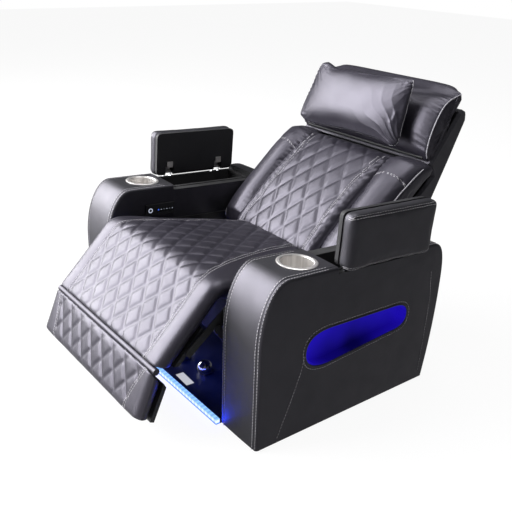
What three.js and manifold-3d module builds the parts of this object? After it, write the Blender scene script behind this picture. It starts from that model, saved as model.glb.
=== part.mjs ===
// A powered cinema recliner seat: two storage arms with cup holders and side lights, a quilted seat with a
// two-piece footrest, a reclining back with a tilting headrest and a pillow, and the steel work under them.
// Millimetres, +Z up, the sitter faces -Y, the floor is z = 0 and the origin is the middle of the base.
import * as THREE from 'three';
import { mergeVertices } from 'three/addons/utils/BufferGeometryUtils.js';
import Module from 'manifold-3d';

const wasm = await Module();
wasm.setup();

// Driving dimensions
const CLEAR = 0.3; // gap between pieces that touch
const RUN = 2; // gap beside a moving face
const OVER = 5; // how far a cutter runs past what it cuts
const FACETS = 20; // sides of a round steel part
const ARC_STEPS = 5; // straight pieces in each curve of an arm outline
const WELD = 0.0005; // points closer than this are one point
const SIDES = [{ name: 'left', s: 1 }, { name: 'right', s: -1 }];

const BASE = { width: 950, depth: 633, lift: 5 };
const ARM = {
  width: 157, wall: 14, edge: 8, height: 464, noseDepth: 87, noseHeight: 183, topEnd: 581,
  rearBulge: 31, bulgeHeight: 329, slope: THREE.MathUtils.degToRad(3), rimStep: 17, rimStart: 245,
  rimLength: 334,
};
const INNER = BASE.width / 2 - ARM.width; // half the clear width between the arms
const CUP = { fromFront: 172, bore: 90, flange: 108.5, flangeThick: 2.5, wall: 2, depth: 74, sides: 28 };
const BIN = { width: 100, length: 300, depth: 118, wall: 2.5, flange: 8, flangeThick: 2, fromOuter: 23 };
const SLOT = {
  front: 151, rear: 526, bottomFront: 186, bottomRear: 206, topFront: 291, topRear: 283, frontRound: 80,
  rearRound: 62, depth: 28, wall: 3,
};
const ARM_FRAME = { thick: 18, margin: 12, rail: 60 };
const LID = {
  length: 325, start: 249, thick: 50, board: 12, corner: 22, round: 11, axisIn: 13, axisUp: 17,
  boardInset: 5,
  notchIn: 24, hingePlaces: [0.14, 0.76], open: THREE.MathUtils.degToRad(90),
};
const LEAF = { width: 22, knuckle: 6, pin: 3, lug: 3, plate: 2, reach: 38, rail: 14, boreGap: 0.35 };
const TRAY = { front: -15, depth: 560, thick: 14, strip: 16, stripDepth: 12 };
const PLATE = { thick: 4, bottom: 52, eye: 24, waist: 150 };
const FRONT_TUBE = { y: 228, z: 215, radius: 13 };
const REAR_TUBE = { y: 430, z: 110, radius: 13 };
const PIVOT = { y: 505, z: 300, pin: 8 }; // recline axis
const KNEE = { y: 30, z: 330, radius: 75, pin: 6 }; // footrest axis
const QUILT = { margin: 68, columns: 7, pitch: 88, depth: 7, backColumns: 5, backPitch: 112, cells: 4 };
// Shares that shape a pad's section: the border's first and last points, its fall, and the tuck under
// its side
const PAD = { step: 0.3, fall: 2.2, most: 0.9, tuck: 0.94, tuckIn: 0.8, near: 0.01 };
const SEAT = {
  armGap: 20, border: 34, crown: 6, underIn: 6, seam: 3, deckThick: 18, deckFrontY: 62, deckFrontZ: 331,
  deckRearY: 378, deckRearZ: 289.4, pad: 60, shelf: 24, depth: 377, height: 405, noseRows: 5,
};
// Top line of the seat, rear to front: shares of its depth behind the knee and of its height
const SEAT_LINE_SHARES = [[1, 0.884], [0.796, 0.918], [0.584, 0.948], [0.398, 0.968], [0.239, 0.988],
  [0.106, 0.998]];
const APRON = { front: 62, thick: 12, bottom: 196 };
const LEG = {
  slope: THREE.MathUtils.degToRad(46), length: 234, pad: 50, board: 12, bracket: 4, bracketGap: 1.5,
};
const FOOT = {
  slope: THREE.MathUtils.degToRad(67), length: 138, pad: 46, board: 12, hingeDepth: 12, wedge: 80,
};
const DRIVE = {
  y: 190, z: 105, tube: 15, crank: 60, crankTurn: THREE.MathUtils.degToRad(-125), bar: 22, link: 3,
  lug: 45, lugTurn: THREE.MathUtils.degToRad(-104),
  pin: 5, pinGap: 0.5,
};
const BACK = {
  tilt: THREE.MathUtils.degToRad(48), panelSeam: 5, panelBorder: 9, panelRound: 24, panelBelow: 30,
  knuckle: 112, knuckleCore: 0.3, knuckleRows: 3, crown: 8, frameY: -12, frameThick: 18, frameBottom: 62,
  frameBelow: 40, frameIn: 24, frameRail: 60, bracket: 4, lugY: 40, lugZ: -83,
};
// Front line of the back's centre panel, top to bottom: shares of the knuckle's radius and of the
// panel's height
const PANEL_LINE_SHARES = [[0.643, 1], [0.857, 0.829], [0.964, 0.608], [1.018, 0.359], [1.009, 0.166],
  [1, 0]];
const SHELL = { armGap: 26, wall: 12, edge: 8, depth: 182, height: 603, frontBottom: 45, frontBelow: 24 };
// Side outlines of the shell and of its hollow, bottom to top: shares of its depth and of its height
const SHELL_LINE_SHARES = [
  [0.824, 0.033], [1, 0.086], [0.363, 0.592], [0.115, 0.781], [-0.154, 0.975], [-0.264, 1], [-0.363, 0.988],
  [-0.396, 0.962], [-0.203, 0.663],
];
const HOLLOW_LINE_SHARES = [[0.769, 0.06], [0.879, 0.1], [0.286, 0.592]];
const BOLSTER = {
  armGap: 16, width: 126, below: 20, bottom: -52, rise: 12, face: 90, fall: 16, side: 18, seat: 6, tuck: 8,
  sideIn: 4, columns: 6, rows: 12,
};
const BOLSTER_SHARES = { fall: 2.2, roll: 6, end: 0.35, lip: 0.99, lipFace: 0.8 };
const HEAD = {
  y: -48, fromTop: 191, armGap: 36, height: 232, below: 16, edge: 50, front: 51, seat: 19, bar: 8,
  pull: 0.03, power: 4,
  lean: THREE.MathUtils.degToRad(11), nod: THREE.MathUtils.degToRad(24),
};
const PILLOW = {
  sideIn: 57, height: 201, edge: 14, front: 52, back: 18.6, y: -139, z: 166,
  pull: 0.035, power: 2.6, lean: THREE.MathUtils.degToRad(20.5),
};
// Grid of a stuffed block, and how far it crowds to the edges
const STUFFING = { across: 14, up: 8, crowd: 0.35 };
const PANEL = {
  length: 106, height: 38, thick: 6, fromFront: 136, bottom: 366, slope: THREE.MathUtils.degToRad(3),
};
const KEY = { size: 10, proud: 1.6, gap: 0.4, count: 6, margin: 9, round: 22, roundGap: 14 };
const ACTUATOR = {
  motor: 34, motorLength: 110, tube: 19, rod: 8, rodOut: 60, eye: 13, eyeThick: 10, place: 90,
  lugThick: 8,
};

// The seat, the back and the headrest follow the clear width between the arms
SEAT.half = INNER - SEAT.armGap;
SEAT.inner = SEAT.half - SEAT.underIn;
QUILT.half = SEAT.half - QUILT.margin;
SHELL.half = INNER - SHELL.armGap;
BACK.frameHalf = SHELL.half - BACK.frameIn;
BOLSTER.half = INNER - BOLSTER.armGap;
BACK.panelHalf = BOLSTER.half - BOLSTER.width;
HEAD.half = INNER - HEAD.armGap;
PILLOW.half = HEAD.half - PILLOW.sideIn;
// What stands on the back follows the shell's height
HEAD.z = SHELL.height - HEAD.fromTop;
SHELL.frontTop = HEAD.z - SHELL.frontBelow;
BACK.frameTop = HEAD.z - BACK.frameBelow;
BACK.panelTop = HEAD.z - BACK.panelBelow;
BOLSTER.top = HEAD.z - BOLSTER.below;

const KNEE_SWEEP = KNEE.radius + SEAT.crown + RUN; // what turns about the knee axis stays outside this
const BACK_SWEEP = BACK.knuckle + BACK.crown + 2 * RUN; // and what faces the back's lower end outside this

// Materials
function finish(color, roughness, metalness) {
  return new THREE.MeshStandardMaterial({ color, roughness, metalness });
}
const leather = () => finish(0x2a2830, 0.42, 0);
const armLeather = () => finish(0x242526, 0.5, 0);
const steel = () => finish(0x3a3b3d, 0.5, 0.8);
const chrome = () => finish(0xc9cbd0, 0.18, 1);
const plastic = () => finish(0x151517, 0.45, 0);
const board = () => finish(0x1b1b1c, 0.7, 0);
const blueLight = () => finish(0x1020d0, 0.3, 0);
const whiteLight = () => finish(0xbcd0ff, 0.3, 0);
const keyLight = () => finish(0xe8eeff, 0.4, 0);

// Solid modelling helpers
const X = new THREE.Vector3(1, 0, 0);
const Y = new THREE.Vector3(0, 1, 0);
const Z = new THREE.Vector3(0, 0, 1);
const SIDE_VIEW = new THREE.Matrix4().makeBasis(Y, Z, X); // a drawing in y and z, thickness along x
const FRONT_VIEW = new THREE.Matrix4().makeBasis(X, Z, Y.clone().negate()); // x and z, thickness along -y

function clean(geometry) {
  const g = geometry.clone();
  g.deleteAttribute('normal');
  g.deleteAttribute('uv');
  return mergeVertices(g, WELD);
}
function solid(geometry) {
  const g = clean(geometry);
  const positions = new Float32Array(g.attributes.position.array);
  return new wasm.Manifold(new wasm.Mesh({
    numProp: 3, vertProperties: positions, triVerts: new Uint32Array(g.index.array),
  }));
}
function geometryOf(body) {
  const mesh = body.getMesh();
  const g = new THREE.BufferGeometry();
  g.setAttribute('position', new THREE.BufferAttribute(new Float32Array(mesh.vertProperties), 3));
  g.setIndex(new THREE.BufferAttribute(new Uint32Array(mesh.triVerts), 1));
  return g;
}
function cut(geometry, ...tools) {
  return geometryOf(tools.reduce((body, tool) => body.subtract(solid(tool)), solid(geometry)));
}
function join(geometry, ...others) {
  return geometryOf(others.reduce((body, other) => body.add(solid(other)), solid(geometry)));
}
function mirrored(geometry) {
  const g = clean(geometry);
  g.applyMatrix4(new THREE.Matrix4().makeScale(-1, 1, 1));
  const index = g.index.array;
  for (let i = 0; i < index.length; i += 3) [index[i], index[i + 1]] = [index[i + 1], index[i]];
  return g;
}
function forSide(geometry, s) {
  return s > 0 ? geometry : mirrored(geometry);
}
function add(parent, name, geometry, material) {
  const mesh = new THREE.Mesh(geometry, material);
  mesh.name = name;
  parent.add(mesh);
  return mesh;
}
function outline(points) {
  return new THREE.Shape(points.map(([a, b]) => new THREE.Vector2(a, b)));
}
function circle(y, z, radius, divisions = FACETS) {
  const points = [];
  for (let i = 0; i < divisions; i++) {
    const turn = (i / divisions) * Math.PI * 2;
    points.push([y + radius * Math.cos(turn), z + radius * Math.sin(turn)]);
  }
  return outline(points);
}
// A flat bar with round ends from a to b
function strap(a, b, width) {
  const turn = Math.atan2(b.z - a.z, b.y - a.y);
  const steps = FACETS / 4;
  const points = [];
  for (const [end, start] of [[b, -Math.PI / 2], [a, Math.PI / 2]]) {
    for (let i = 0; i <= steps; i++) {
      const t = turn + start + (i / steps) * Math.PI;
      points.push([end.y + (width / 2) * Math.cos(t), end.z + (width / 2) * Math.sin(t)]);
    }
  }
  return outline(points);
}
// A side outline in y and z, made solid from x0 to x1, with its edges rounded by `edge`
function plate(shape, x0, x1, edge = 0, steps = 2, curveSegments = 6) {
  const options = { depth: x1 - x0 - 2 * edge, bevelEnabled: edge > 0, curveSegments };
  if (edge > 0) Object.assign(options, { bevelThickness: edge, bevelSize: edge, bevelOffset: -edge,
    bevelSegments: steps });
  const g = new THREE.ExtrudeGeometry(shape, options);
  g.translate(0, 0, x0 + edge);
  return g.applyMatrix4(SIDE_VIEW);
}
function block(x0, x1, y0, y1, z0, z1) {
  const g = new THREE.BoxGeometry(x1 - x0, y1 - y0, z1 - z0);
  return g.translate((x0 + x1) / 2, (y0 + y1) / 2, (z0 + z1) / 2);
}
function bar(x0, x1, y, z, radius) {
  return plate(circle(y, z, radius), x0, x1);
}
function upright(x, y, z0, z1, radius, divisions = 32) {
  const g = new THREE.CylinderGeometry(radius, radius, z1 - z0, divisions);
  return g.rotateX(Math.PI / 2).translate(x, y, (z0 + z1) / 2);
}
// A body lofted through closed loops of points with equal counts; `flat` holds each loop's flat coordinates
function loft(loops, flat, risingDiagonal) {
  const count = loops[0].length;
  const positions = loops.flat().flatMap((p) => [p.x, p.y, p.z]);
  const index = [];
  const at = (j, i) => j * count + (i % count);
  for (let j = 0; j + 1 < loops.length; j++) {
    for (let i = 0; i < count; i++) {
      const [a, b, c, d] = [at(j, i), at(j, i + 1), at(j + 1, i + 1), at(j + 1, i)];
      if (risingDiagonal(i, j)) index.push(a, b, c, a, c, d);
      else index.push(a, b, d, b, c, d);
    }
  }
  const first = THREE.ShapeUtils.triangulateShape(flat[0], []);
  const last = THREE.ShapeUtils.triangulateShape(flat[flat.length - 1], []);
  const end = (loops.length - 1) * count;
  const ccw = THREE.ShapeUtils.isClockWise(flat[0]) ? -1 : 1;
  for (const [a, b, c] of first) index.push(a, ccw > 0 ? c : b, ccw > 0 ? b : c);
  for (const [a, b, c] of last) index.push(end + a, end + (ccw > 0 ? b : c), end + (ccw > 0 ? c : b));
  const g = new THREE.BufferGeometry();
  g.setAttribute('position', new THREE.Float32BufferAttribute(positions, 3));
  g.setIndex(index);
  return g;
}
// Turns a body the right way out when its loops ran the other way round
function outward(geometry) {
  const g = clean(geometry);
  const p = g.attributes.position;
  const index = g.index.array;
  let volume = 0;
  const [a, b, c] = [new THREE.Vector3(), new THREE.Vector3(), new THREE.Vector3()];
  for (let i = 0; i < index.length; i += 3) {
    a.fromBufferAttribute(p, index[i]);
    b.fromBufferAttribute(p, index[i + 1]);
    c.fromBufferAttribute(p, index[i + 2]);
    volume += a.dot(b.cross(c));
  }
  if (volume < 0) {
    for (let i = 0; i < index.length; i += 3) [index[i], index[i + 1]] = [index[i + 1], index[i]];
  }
  return g;
}
// Depth of the diamond quilting at a place: zero in the middle of a diamond, full on the stitch lines
function quiltDrop(across, along, pitchAcross, pitchAlong) {
  const fold = (t) => Math.abs(t - Math.round(t));
  const near = Math.min(fold(across / pitchAcross + along / pitchAlong),
    fold(across / pitchAcross - along / pitchAlong));
  return QUILT.depth * (1 - Math.min(1, near * 4) ** 0.6);
}
// A quilted pad along a side path. `stations` hold the outer and inner points and the distance along.
function quiltedPad({ stations, half, innerHalf, quiltHalf, columns, pitch, border, crown, ends }) {
  const steps = columns * QUILT.cells;
  const pitchAcross = (quiltHalf * 2) / columns;
  const xs = [-half, -half + (half - quiltHalf) * PAD.step, -quiltHalf - (half - quiltHalf) * PAD.step];
  const count = xs.length;
  for (let i = 0; i <= steps; i++) xs.push(-quiltHalf + (i / steps) * quiltHalf * 2);
  for (let i = count - 1; i >= 0; i--) xs.push(-xs[i]);
  const loops = [];
  const flat = [];
  for (const st of stations) {
    const normal = new THREE.Vector2(st.outer[0] - st.inner[0], st.outer[1] - st.inner[1]);
    const thick = normal.length();
    normal.normalize();
    const endDrop = ends(st.along);
    const section = xs.map((x) => {
      const w = Math.abs(x);
      let h = crown * (1 - (w / quiltHalf) ** 2);
      if (w > quiltHalf + PAD.near) h = -border * ((w - quiltHalf) / (half - quiltHalf)) ** PAD.fall;
      else if (w > quiltHalf - PAD.near) h = -SEAT.seam;
      else h -= quiltDrop(x + quiltHalf, st.along, pitchAcross, pitch);
      return [x, Math.max(h - endDrop, -thick * PAD.most)];
    });
    section.push([innerHalf + (half - innerHalf) * PAD.tuckIn, -thick * PAD.tuck], [innerHalf, -thick]);
    section.push([-innerHalf, -thick], [-innerHalf - (half - innerHalf) * PAD.tuckIn, -thick * PAD.tuck]);
    loops.push(section.map(([x, h]) => new THREE.Vector3(
      x, st.outer[0] + normal.x * h, st.outer[1] + normal.y * h,
    )));
    flat.push(section.map(([x, h]) => new THREE.Vector2(x, h)));
  }
  return outward(loft(loops, flat, (i, j) => {
    const step = i - count - stations[j].row;
    return ((step % QUILT.cells) + QUILT.cells) % QUILT.cells === 0;
  }));
}
// A stuffed block, its corners drawn out and its sides pulled in. x across, z up, the front towards -y.
function stuffed({ half, height, front, back, pull, edge, power }) {
  const { across, up, crowd } = STUFFING;
  const spread = (i, count) => -Math.cos((i / count) * Math.PI) * crowd + ((i / count) * 2 - 1) * (1 - crowd);
  const bulge = (u, v) => ((1 - Math.abs(u) ** power) * (1 - Math.abs(v) ** power)) ** 0.5;
  const place = (i, j, isFront) => {
    const u = spread(i, across);
    const v = spread(j, up);
    const x = u * half * (1 - pull * (1 - v * v));
    const z = height / 2 + v * (height / 2) * (1 - pull * (1 - u * u));
    const y = isFront ? -edge / 2 - (front - edge / 2) * bulge(u, v)
      : edge / 2 + (back - edge / 2) * bulge(u, v);
    return [x, y, z];
  };
  return gridSolid(across, up, place);
}
// A closed solid from a front and a back grid that share no points, with a wall between their edges
function gridSolid(across, up, place) {
  const positions = [];
  const index = [];
  const row = across + 1;
  for (const front of [true, false]) {
    for (let j = 0; j <= up; j++) for (let i = 0; i <= across; i++) positions.push(...place(i, j, front));
  }
  const back = row * (up + 1);
  const quad = (a, b, c, d) => index.push(a, b, c, a, c, d);
  for (let j = 0; j < up; j++) {
    for (let i = 0; i < across; i++) {
      const a = j * row + i;
      quad(a, a + 1, a + row + 1, a + row);
      quad(back + a, back + a + row, back + a + row + 1, back + a + 1);
    }
  }
  for (let i = 0; i < across; i++) {
    quad(i, back + i, back + i + 1, i + 1);
    const t = up * row + i;
    quad(t, t + 1, back + t + 1, back + t);
  }
  for (let j = 0; j < up; j++) {
    const l = j * row;
    quad(l, l + row, back + l + row, back + l);
    const r = l + across;
    quad(r, back + r, back + r + row, r + row);
  }
  const g = new THREE.BufferGeometry();
  g.setAttribute('position', new THREE.Float32BufferAttribute(positions, 3));
  g.setIndex(index);
  return outward(g);
}

// The chair stands on its base boards; every other group hangs from this one
const recliner = new THREE.Group();
const chair = new THREE.Group();
chair.position.set(0, -BASE.depth / 2, BASE.lift);
recliner.add(chair);

// Arms
// Height of the arm's top line above the arm's floor, at a distance from its front
const armTopAt = (y) => ARM.height - (y - ARM.noseDepth) * Math.tan(ARM.slope);
function armOutline(inset, floor) {
  const s = new THREE.Shape();
  const top = ARM.height - inset;
  const straight = ARM.height - ARM.noseHeight;
  const rear = BASE.depth - inset;
  s.moveTo(inset, floor);
  s.lineTo(inset, straight);
  const noseDepth = ARM.noseDepth - inset;
  const steps = ARC_STEPS + 2;
  for (let i = 1; i <= steps; i++) {
    const turn = ((i / steps) * Math.PI) / 2;
    s.lineTo(inset + noseDepth * (1 - Math.cos(turn)), straight + (top - straight) * Math.sin(turn));
  }
  const endHeight = armTopAt(ARM.topEnd);
  s.lineTo(ARM.topEnd, endHeight - inset);
  const bulge = rear + ARM.rearBulge;
  s.bezierCurveTo(bulge - ARM.rearBulge, endHeight - inset, bulge, endHeight - inset * 2, bulge,
    ARM.bulgeHeight);
  s.quadraticCurveTo(bulge, ARM.bulgeHeight / 2, rear, floor);
  return s;
}
function slotOutline(inset) {
  const s = new THREE.Shape();
  const [front, rear] = [SLOT.front + inset, SLOT.rear - inset];
  const [bf, br] = [SLOT.bottomFront + inset, SLOT.bottomRear + inset];
  const [tf, tr] = [SLOT.topFront - inset, SLOT.topRear - inset];
  s.moveTo(front + SLOT.frontRound, bf);
  s.lineTo(rear - SLOT.rearRound, br);
  s.quadraticCurveTo(rear, br, rear, (br + tr) / 2);
  s.quadraticCurveTo(rear, tr, rear - SLOT.rearRound, tr);
  s.lineTo(front + SLOT.frontRound, tf);
  s.quadraticCurveTo(front, tf, front, (bf + tf) / 2);
  s.quadraticCurveTo(front, bf, front + SLOT.frontRound, bf);
  return s;
}
const OUTER = BASE.width / 2;
const ARM_MIDDLE = OUTER - ARM.width / 2;
const cupTop = armTopAt(CUP.fromFront);
const binOuter = OUTER - BIN.fromOuter;
const binInner = binOuter - BIN.width;
const binStart = LID.start + (LID.length - BIN.length) / 2;

for (const { name, s } of SIDES) {
  const arm = new THREE.Group();
  chair.add(arm);
  // Everything on the arm's sloping top is drawn level and tipped with it
  const tip = (g) => g.rotateX(-ARM.slope).translate(0, ARM.rimStart, armTopAt(ARM.rimStart));
  const local = (y) => y - ARM.rimStart;

  const rim = tip(block(INNER - OVER, OUTER + OVER, 0, ARM.rimLength, -ARM.rimStep, ARM.width));
  const binHole = tip(block(binInner - CLEAR, binOuter + CLEAR, local(binStart) - CLEAR,
    local(binStart) + BIN.length + CLEAR, -ARM.height / 2, 0));
  const standCup = (g) => g.rotateX(-ARM.slope).translate(ARM_MIDDLE, CUP.fromFront, cupTop);
  const cupHole = standCup(upright(0, 0, -ARM.wall * 3, OVER * 4, CUP.bore / 2 + CLEAR));
  const slotHole = plate(slotOutline(0), OUTER - ARM.wall - OVER, OUTER + OVER, 0, 2, ARC_STEPS);
  // The rim is a board as thick as the walls, so the hollow stops under it
  const rimBoard = (gap) => tip(block(INNER, OUTER, -ARM.wall - gap, ARM.rimLength + ARM.wall + gap,
    -ARM.rimStep - ARM.wall - gap, ARM.width));
  const hollow = cut(
    plate(armOutline(ARM.wall, -OVER), INNER + ARM.wall, OUTER - ARM.wall, 0, 2, ARC_STEPS), rimBoard(0),
  );
  const cover = cut(
    plate(armOutline(0, 0), INNER, OUTER, ARM.edge, 2, ARC_STEPS), hollow, rim, binHole, cupHole, slotHole,
  );
  add(arm, `arm_cover_${name}`, forSide(cover, s), armLeather());

  // Plywood frame against the inner wall, with one large window
  const frameInner = INNER + ARM.wall + CLEAR;
  const frameInset = ARM.wall + RUN;
  const windowInset = frameInset + ARM_FRAME.rail;
  const frameWindow = new THREE.Shape();
  const windowTop = armTopAt(ARM.rimStart) - ARM.rimStep - windowInset;
  frameWindow.moveTo(windowInset, ARM_FRAME.rail);
  frameWindow.lineTo(BASE.depth - windowInset, ARM_FRAME.rail);
  frameWindow.lineTo(BASE.depth - windowInset, windowTop);
  frameWindow.lineTo(windowInset, windowTop);
  const frame = cut(
    plate(armOutline(frameInset, 0), frameInner, frameInner + ARM_FRAME.thick, 0, 2, ARC_STEPS),
    plate(frameWindow, frameInner - OVER, frameInner + ARM_FRAME.thick + OVER),
    rimBoard(CLEAR),
  );
  add(arm, `arm_frame_${name}`, forSide(frame, s), board());

  const baseBoard = block(INNER + ARM_FRAME.margin, OUTER - ARM_FRAME.margin, ARM_FRAME.margin,
    BASE.depth - ARM_FRAME.margin, -BASE.lift, -CLEAR);
  add(arm, `arm_base_${name}`, forSide(baseBoard, s), plastic());

  // Cup holder, turned from sheet steel, standing square to the arm's top
  const r = CUP.bore / 2;
  const cup = new THREE.LatheGeometry([
    [0, -CUP.depth], [r - CUP.wall * 2, -CUP.depth], [r, -CUP.depth + CUP.wall * 2], [r, CLEAR],
    [CUP.flange / 2, CLEAR], [CUP.flange / 2, CLEAR + CUP.flangeThick / 2],
    [CUP.flange / 2 - CUP.flangeThick, CLEAR + CUP.flangeThick], [r, CLEAR + CUP.flangeThick],
    [r - CUP.wall, CLEAR], [r - CUP.wall, -CUP.depth + CUP.wall * 3],
    [r - CUP.wall * 3, -CUP.depth + CUP.wall],
    [0, -CUP.depth + CUP.wall],
  ].map(([a, b]) => new THREE.Vector2(a, b)), CUP.sides);
  add(arm, `cup_holder_${name}`, forSide(outward(standCup(cup.rotateX(Math.PI / 2))), s), chrome());

  // Storage bin, a moulded tray with a narrow flange on the rim
  const [bx0, bx1] = [binInner, binOuter];
  const [by0, by1] = [local(binStart), local(binStart) + BIN.length];
  const binFloor = -ARM.rimStep - BIN.depth;
  const flangeBottom = -ARM.rimStep + CLEAR;
  const bin = cut(
    join(
      block(bx0, bx1, by0, by1, binFloor, flangeBottom + BIN.flangeThick),
      block(bx0 - BIN.flange, bx1 + BIN.flange / 4, by0 - BIN.flange, by1 + BIN.flange, flangeBottom,
        flangeBottom + BIN.flangeThick),
    ),
    block(bx0 + BIN.wall, bx1 - BIN.wall, by0 + BIN.wall, by1 - BIN.wall, binFloor + BIN.wall, OVER),
  );
  add(arm, `storage_bin_${name}`, forSide(tip(bin), s), plastic());

  // Lit recess in the outer face: a shallow pan that shows through the slot
  const pan = cut(
    plate(slotOutline(CLEAR), OUTER - SLOT.depth, OUTER - CLEAR, 0, 2, ARC_STEPS),
    plate(slotOutline(CLEAR + SLOT.wall), OUTER - SLOT.depth + SLOT.wall, OUTER + OVER, 0, 2, ARC_STEPS),
  );
  add(arm, `side_light_${name}`, forSide(pan, s), blueLight());

  // Lid hinge: a strip on the rim with two pairs of lugs and their pins
  const axisX = OUTER - LID.axisIn;
  const stripBottom = -ARM.rimStep + CLEAR;
  const axisZ = stripBottom + LEAF.plate + CLEAR + LID.axisUp;
  const stripOuter = axisX + LEAF.rail / 2;
  let rail = block(stripOuter - LEAF.rail / 2, stripOuter, local(LID.start) + LID.corner,
    local(LID.start) + LID.length - LID.corner, stripBottom, stripBottom + LEAF.plate);
  const hingeStarts = LID.hingePlaces.map((share) => local(LID.start) + share * LID.length);
  for (const y0 of hingeStarts) {
    for (const y of [y0 - LEAF.lug - RUN / 2, y0 + LEAF.width + RUN / 2]) {
      rail = join(rail, block(axisX - LEAF.pin, stripOuter, y, y + LEAF.lug, stripBottom,
        axisZ + LEAF.knuckle));
    }
    const pin = new THREE.CylinderGeometry(LEAF.pin, LEAF.pin, LEAF.width + RUN + LEAF.lug, 12);
    rail = join(rail, pin.translate(axisX, y0 + LEAF.width / 2, axisZ));
  }
  add(arm, `hinge_rail_${name}`, forSide(tip(rail), s), chrome());

  // The lid is drawn closed about its hinge axis, then turned up to its open place
  const raise = (g) => tip(g.rotateY(LID.open).translate(axisX, 0, axisZ));
  const [lx0, lx1] = [INNER + RUN - axisX, OUTER - axisX];
  const [ly0, ly1] = [local(LID.start), local(LID.start) + LID.length];
  const bottom = -LID.axisUp;
  const notches = hingeStarts.map((y0) => block(-LID.notchIn, OUTER, y0 - LEAF.lug - RUN,
    y0 + LEAF.width + LEAF.lug + RUN,
    bottom - OVER, LEAF.knuckle + RUN * 2));
  const lidPlan = (inset) => {
    const plan = new THREE.Shape();
    const c = LID.corner - inset;
    const [x0, x1, y0, y1] = [lx0 + inset, lx1 - inset, ly0 + inset, ly1 - inset];
    plan.moveTo(x0 + c, y0);
    plan.lineTo(x1 - c, y0);
    plan.quadraticCurveTo(x1, y0, x1, y0 + c);
    plan.lineTo(x1, y1 - c);
    plan.quadraticCurveTo(x1, y1, x1 - c, y1);
    plan.lineTo(x0 + c, y1);
    plan.quadraticCurveTo(x0, y1, x0, y1 - c);
    plan.lineTo(x0, y0 + c);
    plan.quadraticCurveTo(x0, y0, x0 + c, y0);
    return plan;
  };
  const lidBoard = new THREE.ExtrudeGeometry(lidPlan(LID.boardInset), {
    depth: LID.board, bevelEnabled: false, curveSegments: 4,
  }).translate(0, 0, bottom);
  // The board's edge beyond the axis is cut to an arc, so that it turns over the hinge strip
  const arc = new THREE.CylinderGeometry(LID.axisUp, LID.axisUp, LID.length + OVER * 4, FACETS);
  const arcCut = cut(block(0, OUTER, ly0 - OVER, ly1 + OVER, bottom - OVER, 0),
    arc.translate(0, (ly0 + ly1) / 2, 0));
  add(arm, `lid_board_${name}`, forSide(raise(cut(lidBoard, arcCut, ...notches)), s), board());
  const lidPad = new THREE.ExtrudeGeometry(lidPlan(0), {
    depth: LID.thick - LID.board - 2 * LID.round, bevelEnabled: true,
    bevelThickness: LID.round, bevelSize: LID.round,
    bevelOffset: -LID.round, bevelSegments: 3, curveSegments: 4,
  }).translate(0, 0, bottom + LID.board + CLEAR + LID.round);
  add(arm, `lid_pad_${name}`, forSide(raise(cut(lidPad, ...notches)), s), leather());

  // Lid leaves: a knuckle on the pin, an arm down through the notch and a plate under the board
  hingeStarts.forEach((y0, n) => {
    const plateTop = bottom - CLEAR;
    const armIn = LID.notchIn - RUN;
    let leaf = join(
      block(-armIn, 0, y0 + RUN, y0 + LEAF.width - RUN, -LEAF.plate, LEAF.plate),
      block(-armIn, -armIn + LEAF.plate * 2, y0 + RUN, y0 + LEAF.width - RUN, plateTop - LEAF.plate,
      LEAF.plate),
      block(-LEAF.reach, -armIn + LEAF.plate * 2, y0, y0 + LEAF.width, plateTop - LEAF.plate, plateTop),
      new THREE.CylinderGeometry(LEAF.knuckle, LEAF.knuckle, LEAF.width, FACETS).translate(0,
      y0 + LEAF.width / 2, 0),
    );
    const bore = new THREE.CylinderGeometry(LEAF.pin + LEAF.boreGap, LEAF.pin + LEAF.boreGap,
      LEAF.width + OVER, FACETS);
    leaf = cut(leaf, bore.translate(0, y0 + LEAF.width / 2, 0));
    add(arm, `lid_hinge_${n ? 'rear' : 'front'}_${name}`, forSide(raise(leaf), s), chrome());
  });
}

// Base tray with its light strip
const trayHalf = INNER - CLEAR;
const trayFront = TRAY.front + TRAY.stripDepth + CLEAR;
const tray = block(-trayHalf, trayHalf, trayFront, trayFront + TRAY.depth, -BASE.lift,
  -BASE.lift + TRAY.thick);
add(chair, 'base_tray', tray, plastic());
add(chair, 'light_strip', block(-trayHalf, trayHalf, TRAY.front, TRAY.front + TRAY.stripDepth, -BASE.lift,
  -BASE.lift + TRAY.strip), whiteLight());

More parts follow.
